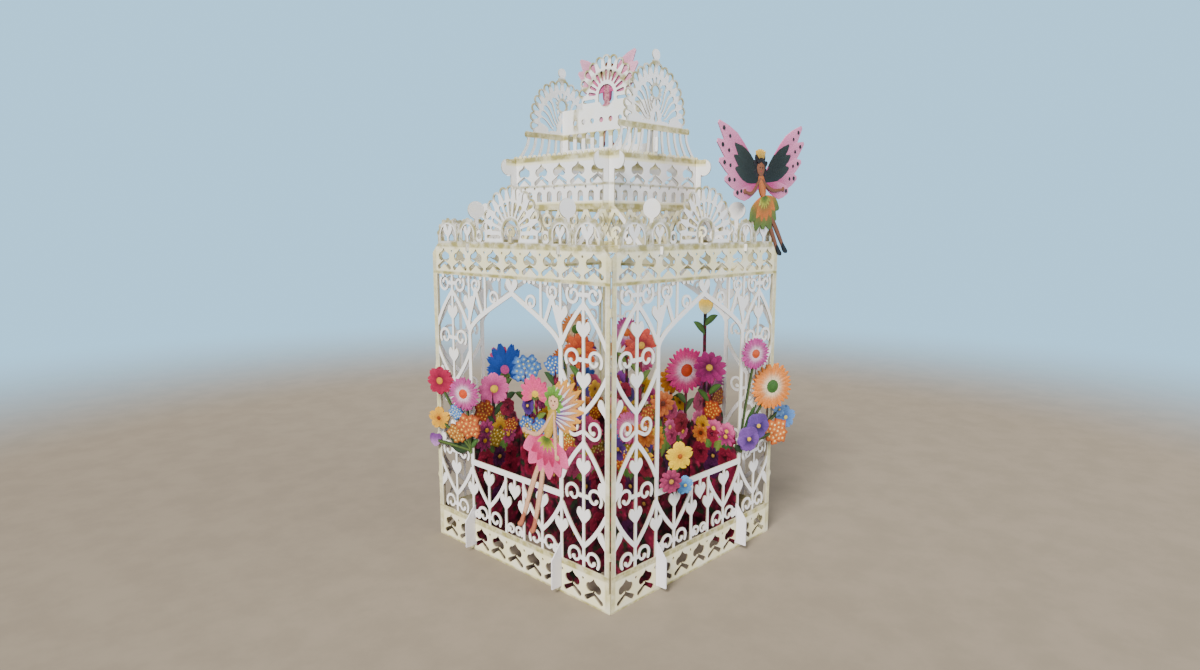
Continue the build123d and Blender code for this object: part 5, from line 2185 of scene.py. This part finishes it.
@dataclass
class Figure:
    """Small winged figure of plain design: wings, limbs, petal dress, head and hair."""

    node: str
    plane: SheetPlane
    neck: tuple
    hip: tuple
    feet: Sequence[tuple]
    hands: Sequence[tuple]
    wings: Sequence[WingFan]
    skirt: tuple
    skin: str
    hair: str
    bodice: str
    boots: str
    wing_inks: tuple
    skirt_inks: tuple
    head: float = 3.7
    crown: bool = False
    seed: int = 60

    def _wings(self, printer: Printer) -> None:
        """Fan of lobes on each side, with pale ribs, or with dark inner leaves and spots.

        Args:
            printer: Printer of the figure.
        """
        root, tip, mark = (ink(code) for code in self.wing_inks)
        x, z = (self.neck[0] + self.hip[0]) / 2, self.neck[1] - 3.0
        for wing in self.wings:
            angles, lengths = np.array(wing.angles, float), np.array(wing.lengths, float)
            printer.petals(x, z, angles, 1.0, lengths, wing.half_width, root, tip, -0.05, belly=0.66,
                           shift=0.55, point=wing.point)
            if wing.ribbed:
                printer.petals(x, z, angles, 0.22 * lengths.mean(), 0.84 * lengths,
                               0.3 * wing.half_width, mark, mark, 0.12, belly=0.6, point=0.8, grid=(6, 3))
                continue
            printer.petals(x, z, angles[:3], 2.0, 0.66 * lengths[:3], 0.8 * wing.half_width, mark,
                           mark * 2.4, 0.08, belly=0.6, shift=0.7, point=0.6)
            turn = np.radians(angles)
            for share in (0.9, 0.77):
                printer.buttons(x + share * lengths * np.cos(turn), z + share * lengths * np.sin(turn),
                                0.22 * wing.half_width * share, mark, mark, 0.16, dome=0.08, grid=4)

    def _limbs(self, printer: Printer) -> None:
        """Arms and legs as even tapering strips, with shoes.

        Args:
            printer: Printer of the figure.
        """
        skin, boots = ink(self.skin), ink(self.boots)
        for k, foot in enumerate(self.feet):
            knee = ((self.hip[0] + foot[0]) / 2 + (0.9 if k else -0.9), (self.hip[1] + foot[1]) / 2)
            leg = bezier(self.hip, knee, knee, foot, 12)
            printer.blade(leg, 1.25, skin, skin * 0.72, 0.02 + 0.06 * k, 0.5, 0.5)
            toe = (foot[0] + (2.2 if foot[0] >= self.hip[0] else -2.2), foot[1] - 1.0)
            shin = (foot[0] * 0.7 + knee[0] * 0.3, foot[1] * 0.7 + knee[1] * 0.3)
            printer.blade(bezier(shin, foot, foot, toe, 10), 1.2, boots, boots * 0.6, 0.14, 0.5, 0.5)
        for k, hand in enumerate(self.hands):
            bow = ((self.neck[0] + hand[0]) / 2, min(self.neck[1], hand[1]) - 1.5)
            shoulder = (self.neck[0], self.neck[1] - 1.4)
            printer.blade(bezier(shoulder, bow, bow, hand, 12), 0.85, skin, skin * 0.75, 0.3, 0.5, 0.5)
            printer.buttons(hand[0], hand[1], 1.1, skin, skin * 0.8, 0.34)

    def _dress(self, printer: Printer) -> None:
        """Bodice, and a skirt of two rings of hanging petals.

        Args:
            printer: Printer of the figure.
        """
        top, low = ink(self.skirt_inks[0]), ink(self.skirt_inks[1])
        start, end, length = self.skirt
        angles = np.linspace(start, end, 6)
        waist = np.array(self.hip) + 0.25 * (np.array(self.neck) - np.array(self.hip))
        reach = length * np.array([0.94, 1.0, 0.92, 1.0, 0.95, 0.9])
        printer.petals(*waist, angles, 0.4, reach, 0.21 * length, top, low, 0.1, belly=0.66, point=0.55)
        inner = (angles[:-1] + angles[1:]) / 2
        printer.petals(*waist, inner, 0.4, 0.7 * length, 0.16 * length, low, top, 0.2, belly=0.62,
                       point=0.5)
        printer.petals(*waist, angles, 0.2, 0.36 * length, 0.07 * length, ink("4a6a24"), ink("c8c040"),
                       0.32, belly=0.4, point=0.8, grid=(6, 3))
        bodice = ink(self.bodice)
        printer.blade(np.linspace(self.neck, waist, 9), 2.5, bodice, bodice * 0.6, 0.26, 0.55, 0.4)

    def _head(self, printer: Printer) -> None:
        """Hair, plain face with two dots and a small mouth, and a crown where there is one.

        Args:
            printer: Printer of the figure.
        """
        x, z = self.neck[0], self.neck[1] + 0.75 * self.head
        hair, skin = ink(self.hair), ink(self.skin)
        printer.buttons(x, z + 0.5, self.head * 1.12, hair, hair * 0.7, 0.2)
        locks = np.array([20.0, 55.0, 90.0, 125.0, 160.0, 205.0, 235.0, -25.0, -55.0])
        printer.petals(x, z + 0.4, locks, 1.2, self.head * 1.55, 1.25, hair, hair * 1.5, 0.16, belly=0.6)
        printer.buttons(x, z - 0.3, self.head * 0.76, skin * 1.05, skin * 0.9, 0.42, 1.12)
        eyes, dark = np.array([x - 1.05, x + 1.05]), ink("2a1a18")
        printer.buttons(eyes, np.full(2, z + 0.05), 0.36, dark, dark, 0.62, dome=0.05)
        printer.buttons(x, z - 1.55, 0.5, ink("b8404a"), ink("b8404a"), 0.58, 0.55, 0.05)
        fringe = np.array([50.0, 75.0, 105.0, 130.0])
        printer.petals(x, z + 0.3, fringe, self.head * 0.5, self.head * 1.05, 1.0, hair, hair * 1.3, 0.52)
        if self.crown:
            gold = ink("e8b84a")
            points = np.array([62.0, 76.0, 90.0, 104.0, 118.0])
            printer.petals(x, z + 1.2, points, self.head * 0.75, self.head * 1.75, 0.7, gold * 0.7, gold,
                           0.5, belly=0.3)

    def build(self, base: bpy.types.Material, petals: bpy.types.Material) -> None:
        """Makes the figure on a thin backing that ties its pieces together.

        Args:
            base: Finish of the backing.
            petals: Finish of the print.
        """
        mesh = CardMesh()
        printer = Printer(mesh, self.plane, self.seed, True)
        line = np.array([self.neck, self.hip])
        low, high = line.min(axis=0), line.max(axis=0)
        sheet = CutSheet(low[0] - 8, high[0] + 8, low[1] - 6, high[1] + 8, 0.2)
        face = Disc(self.neck[0], self.neck[1] + 0.75 * self.head, 0.8 * self.head)
        sheet.add([Stroke(line, 3.0), face], BLEND)
        mesh.add_sheet(sheet, self.plane)
        for step in (self._wings, self._limbs, self._dress, self._head):
            step(printer)
        finish_piece(mesh.build(f"printed_{self.node}", [base, petals]), self.node)


def figures() -> list[Figure]:
    """The three figures.

    Returns:
        The figures, each with its own pose and colours.
    """
    outer = HALF + CARD / 2
    return [
        Figure("window_figure", SheetPlane(Side.LEFT, outer), (25.5, 74.5), (20.0, 58.0),
               [(5.0, 22.0), (12.5, 21.0)], [(7.5, 62.5), (27.5, 55.0)],
               [WingFan((68, 57, 46, 35, 24, 12, 0, -13, -27), (15, 18, 20, 21, 20.5, 19, 17, 15, 12),
                        1.75, 0.45, True)],
               (206, 318, 17.0), "ecb894", "5f8a34", "d8b048", "c8785a", ("4a3c9c", "f0a83c", "f4eef8"),
               ("c82a62", "f06a9c"), seed=61),
        Figure("corner_figure", SheetPlane(Side.RIGHT, outer), (37.5, 166.0), (42.0, 154.0),
               [(55.0, 132.5), (60.0, 133.5)], [(26.0, 158.5), (56.5, 160.5)],
               [WingFan((146, 156, 167, 180, 195), (40, 37, 33, 28, 22), 4.7, 0.6),
                WingFan((39, 29, 18, 6, -9), (41, 39, 34, 29, 22), 4.7, 0.6)],
               (228, 338, 15.5), "8a5436", "161014", "d8783a", "181418",
               ("c83880", "f49ac0", "1c2420"), ("e0782c", "5a7a30"), 3.8, True, 62),
        Figure("crown_figure", SheetPlane(Side.REAR_RIGHT, CARD), (0.0, 206.0), (0.0, 195.5),
               [(-2.5, 179.5), (2.5, 179.5)], [],
               [WingFan((138, 152, 170), (22, 20, 16), 3.2, 0.5),
                WingFan((42, 28, 10), (22, 20, 16), 3.2, 0.5)],
               (238, 302, 13.0), "e0aa84", "5a3018", "b84a7c", "7a3048",
               ("d85a94", "f6b4cc", "8e2a54"), ("c84a8c", "f0a0c0"), 3.6, False, 63),
    ]


def finish_piece(piece: bpy.types.Object, node: str) -> None:
    """Sets a piece in the place of its solid and reports it.

    Args:
        piece: The finished object.
        node: Name of the solid that it stands for.
    """
    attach(piece, "root")
    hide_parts(node)
    log.info("%s: %d triangles", piece.name, len(piece.data.polygons))


@dataclass(frozen=True)
class Studio:
    """Floor, soft lights and the camera at the photograph's view."""

    eye: tuple = (-0.24627, -0.23379, 0.14418)
    yaw: float = 43.941
    pitch: float = -8.302
    roll: float = 0.103
    focal_px: float = 748.71
    image_width_px: float = 1200.0
    sensor: float = 36.0
    key_angle: float = 22.0
    ambient: tuple = (0.22, 0.24, 0.28)

    def _area(self, name: str, place: tuple, size: float, power: float, colour: tuple) -> None:
        """One square lamp aimed at the card.

        Args:
            name: Name of the lamp.
            place: Where it hangs.
            size: Length of its side.
            power: Power in watts.
            colour: Colour of its light.
        """
        lamp = bpy.data.lights.new(name, "AREA")
        lamp.size, lamp.energy, lamp.color = size, power, colour
        holder = bpy.data.objects.new(name, lamp)
        holder.location = place
        holder.rotation_euler = (Vector((0, 0, 0.09)) - Vector(place)).to_track_quat("-Z", "Y").to_euler()
        bpy.context.scene.collection.objects.link(holder)

    def _sun(self, place: tuple, strength: float, colour: tuple) -> None:
        """Soft key light that falls evenly on the card and the whole floor.

        Args:
            place: Where the light comes from.
            strength: Strength of the light.
            colour: Colour of the light.
        """
        lamp = bpy.data.lights.new("key", "SUN")
        lamp.energy, lamp.color, lamp.angle = strength, colour, math.radians(self.key_angle)
        holder = bpy.data.objects.new("key", lamp)
        holder.location = place
        holder.rotation_euler = (-Vector(place)).to_track_quat("-Z", "Y").to_euler()
        bpy.context.scene.collection.objects.link(holder)

    def _sky(self, backdrop: tuple) -> None:
        """Soft light from all round, with the backdrop's colour where the camera sees it.

        Args:
            backdrop: Colour of the backdrop.
        """
        world = bpy.data.worlds.new("sky")
        world.use_nodes = True
        tree = world.node_tree
        shown, seen = tree.nodes.new("ShaderNodeMix"), tree.nodes.new("ShaderNodeLightPath")
        shown.data_type = "RGBA"
        sockets = [s for s in shown.inputs if s.enabled]
        sockets[1].default_value, sockets[2].default_value = (*self.ambient, 1.0), (*backdrop, 1.0)
        tree.links.new(seen.outputs["Is Camera Ray"], sockets[0])
        tree.links.new(next(s for s in shown.outputs if s.enabled), tree.nodes["Background"].inputs["Color"])
        bpy.context.scene.world = world

    def build(self) -> None:
        """Sets up the floor, the lights, the sky and the camera."""
        mesh = bpy.data.meshes.new("floor")
        far = 6.0
        corners = [(-far, -far, 0), (far, -far, 0), (far, far, 0), (-far, far, 0)]
        mesh.from_pydata(corners, [], [(0, 1, 2, 3)])
        paper = PaleFloor()
        mesh.materials.append(paper.build())
        floor = bpy.data.objects.new("floor", mesh)
        bpy.context.scene.collection.objects.link(floor)
        self._sun((-0.8, -0.28, 0.72), 7.0, (1.0, 0.97, 0.93))
        self._area("fill", (0.3, -0.95, 0.55), 0.8, 9.0, (0.93, 0.95, 1.0))
        self._area("back", (0.5, 0.8, 0.7), 0.8, 3.0, (1.0, 0.98, 0.96))
        self._sky(paper.backdrop)
        lens = bpy.data.cameras.new("photo_view")
        lens.sensor_fit, lens.sensor_width = "HORIZONTAL", self.sensor
        lens.lens = self.focal_px / self.image_width_px * self.sensor
        lens.clip_start = 0.01
        camera = bpy.data.objects.new("photo_view", lens)
        yaw, pitch = math.radians(self.yaw), math.radians(self.pitch)
        ahead = Vector((math.cos(yaw) * math.cos(pitch), math.sin(yaw) * math.cos(pitch), math.sin(pitch)))
        turn = ahead.to_track_quat("-Z", "Y").to_matrix().to_4x4()
        roll = Matrix.Rotation(math.radians(self.roll), 4, "Z")
        camera.matrix_world = Matrix.Translation(self.eye) @ turn @ roll
        bpy.context.scene.collection.objects.link(camera)
        bpy.context.scene.camera = camera


def main() -> None:
    """Builds every piece in order, then the studio."""
    logging.basicConfig(level=logging.INFO, format="%(message)s")
    wall_card = AntiqueCard(
        "gilded_wall_card",
        print_and_shade_washes=((-1.0, 14.6, 0.4), (122.9, 136.6, 0.4)),
        levels=((-1.0, 0.8, 0.5), (12.2, 14.5, 0.4), (122.9, 124.3, 0.4), (134.9, 137.5, 0.5)),
        borders=((52.3, 56.0, 0.5),),
        rings=((0.0, 141.4, 17.0, 19.5, 0.8), (0.0, 141.4, 4.4, 6.0, 0.5), (43.0, 139.1, 6.2, 8.6, 0.5),
               (28.75, 140.7, 4.6, 6.6, 0.5)),
    ).build()
    roof_card = AntiqueCard(
        "gilded_roof_card",
        # The first wash, cream over the truss zone from the rail up to the tier, is painted shade on the
        # trusses behind the crest.
        print_and_shade_washes=((RAIL_FOOT, TIER_FOOT, 1.5), (150.6, 154.0, 0.4), (170.2, 174.6, 0.5), (183.2, 185.9, 0.3)),
        levels=((RAIL_FOOT, RAIL_TOP, 0.4), (150.6, 153.2, 0.4), (171.2, 173.4, 0.5), (183.4, 185.7, 0.3),
                (160.2, 161.2, 0.4), (145.0, 147.5, 1.5)),
        rings=((0.0, 190.7, 17.6, 20.6, 0.8), (0.0, 199.0, 2.0, 3.4, 0.5), (0.0, 200.8, 15.2, 17.8, 0.8)),
        reach=34.0,
    ).build()
    petals = PetalInk("petal_print").build()
    ground = GardenCard("garden_print").build()
    stems = StemCard("stem_print").build()
    backing = StemCard("figure_print", "7a3a4a", "c88a94").build()
    Walls().build(wall_card)
    Roofs().build(roof_card)
    Gardens().build(ground, petals)
    for bunch in bunches():
        bunch.build(stems, petals)
    for figure in figures():
        figure.build(backing, petals)
    Studio().build()


if __name__ == "__main__":
    main()
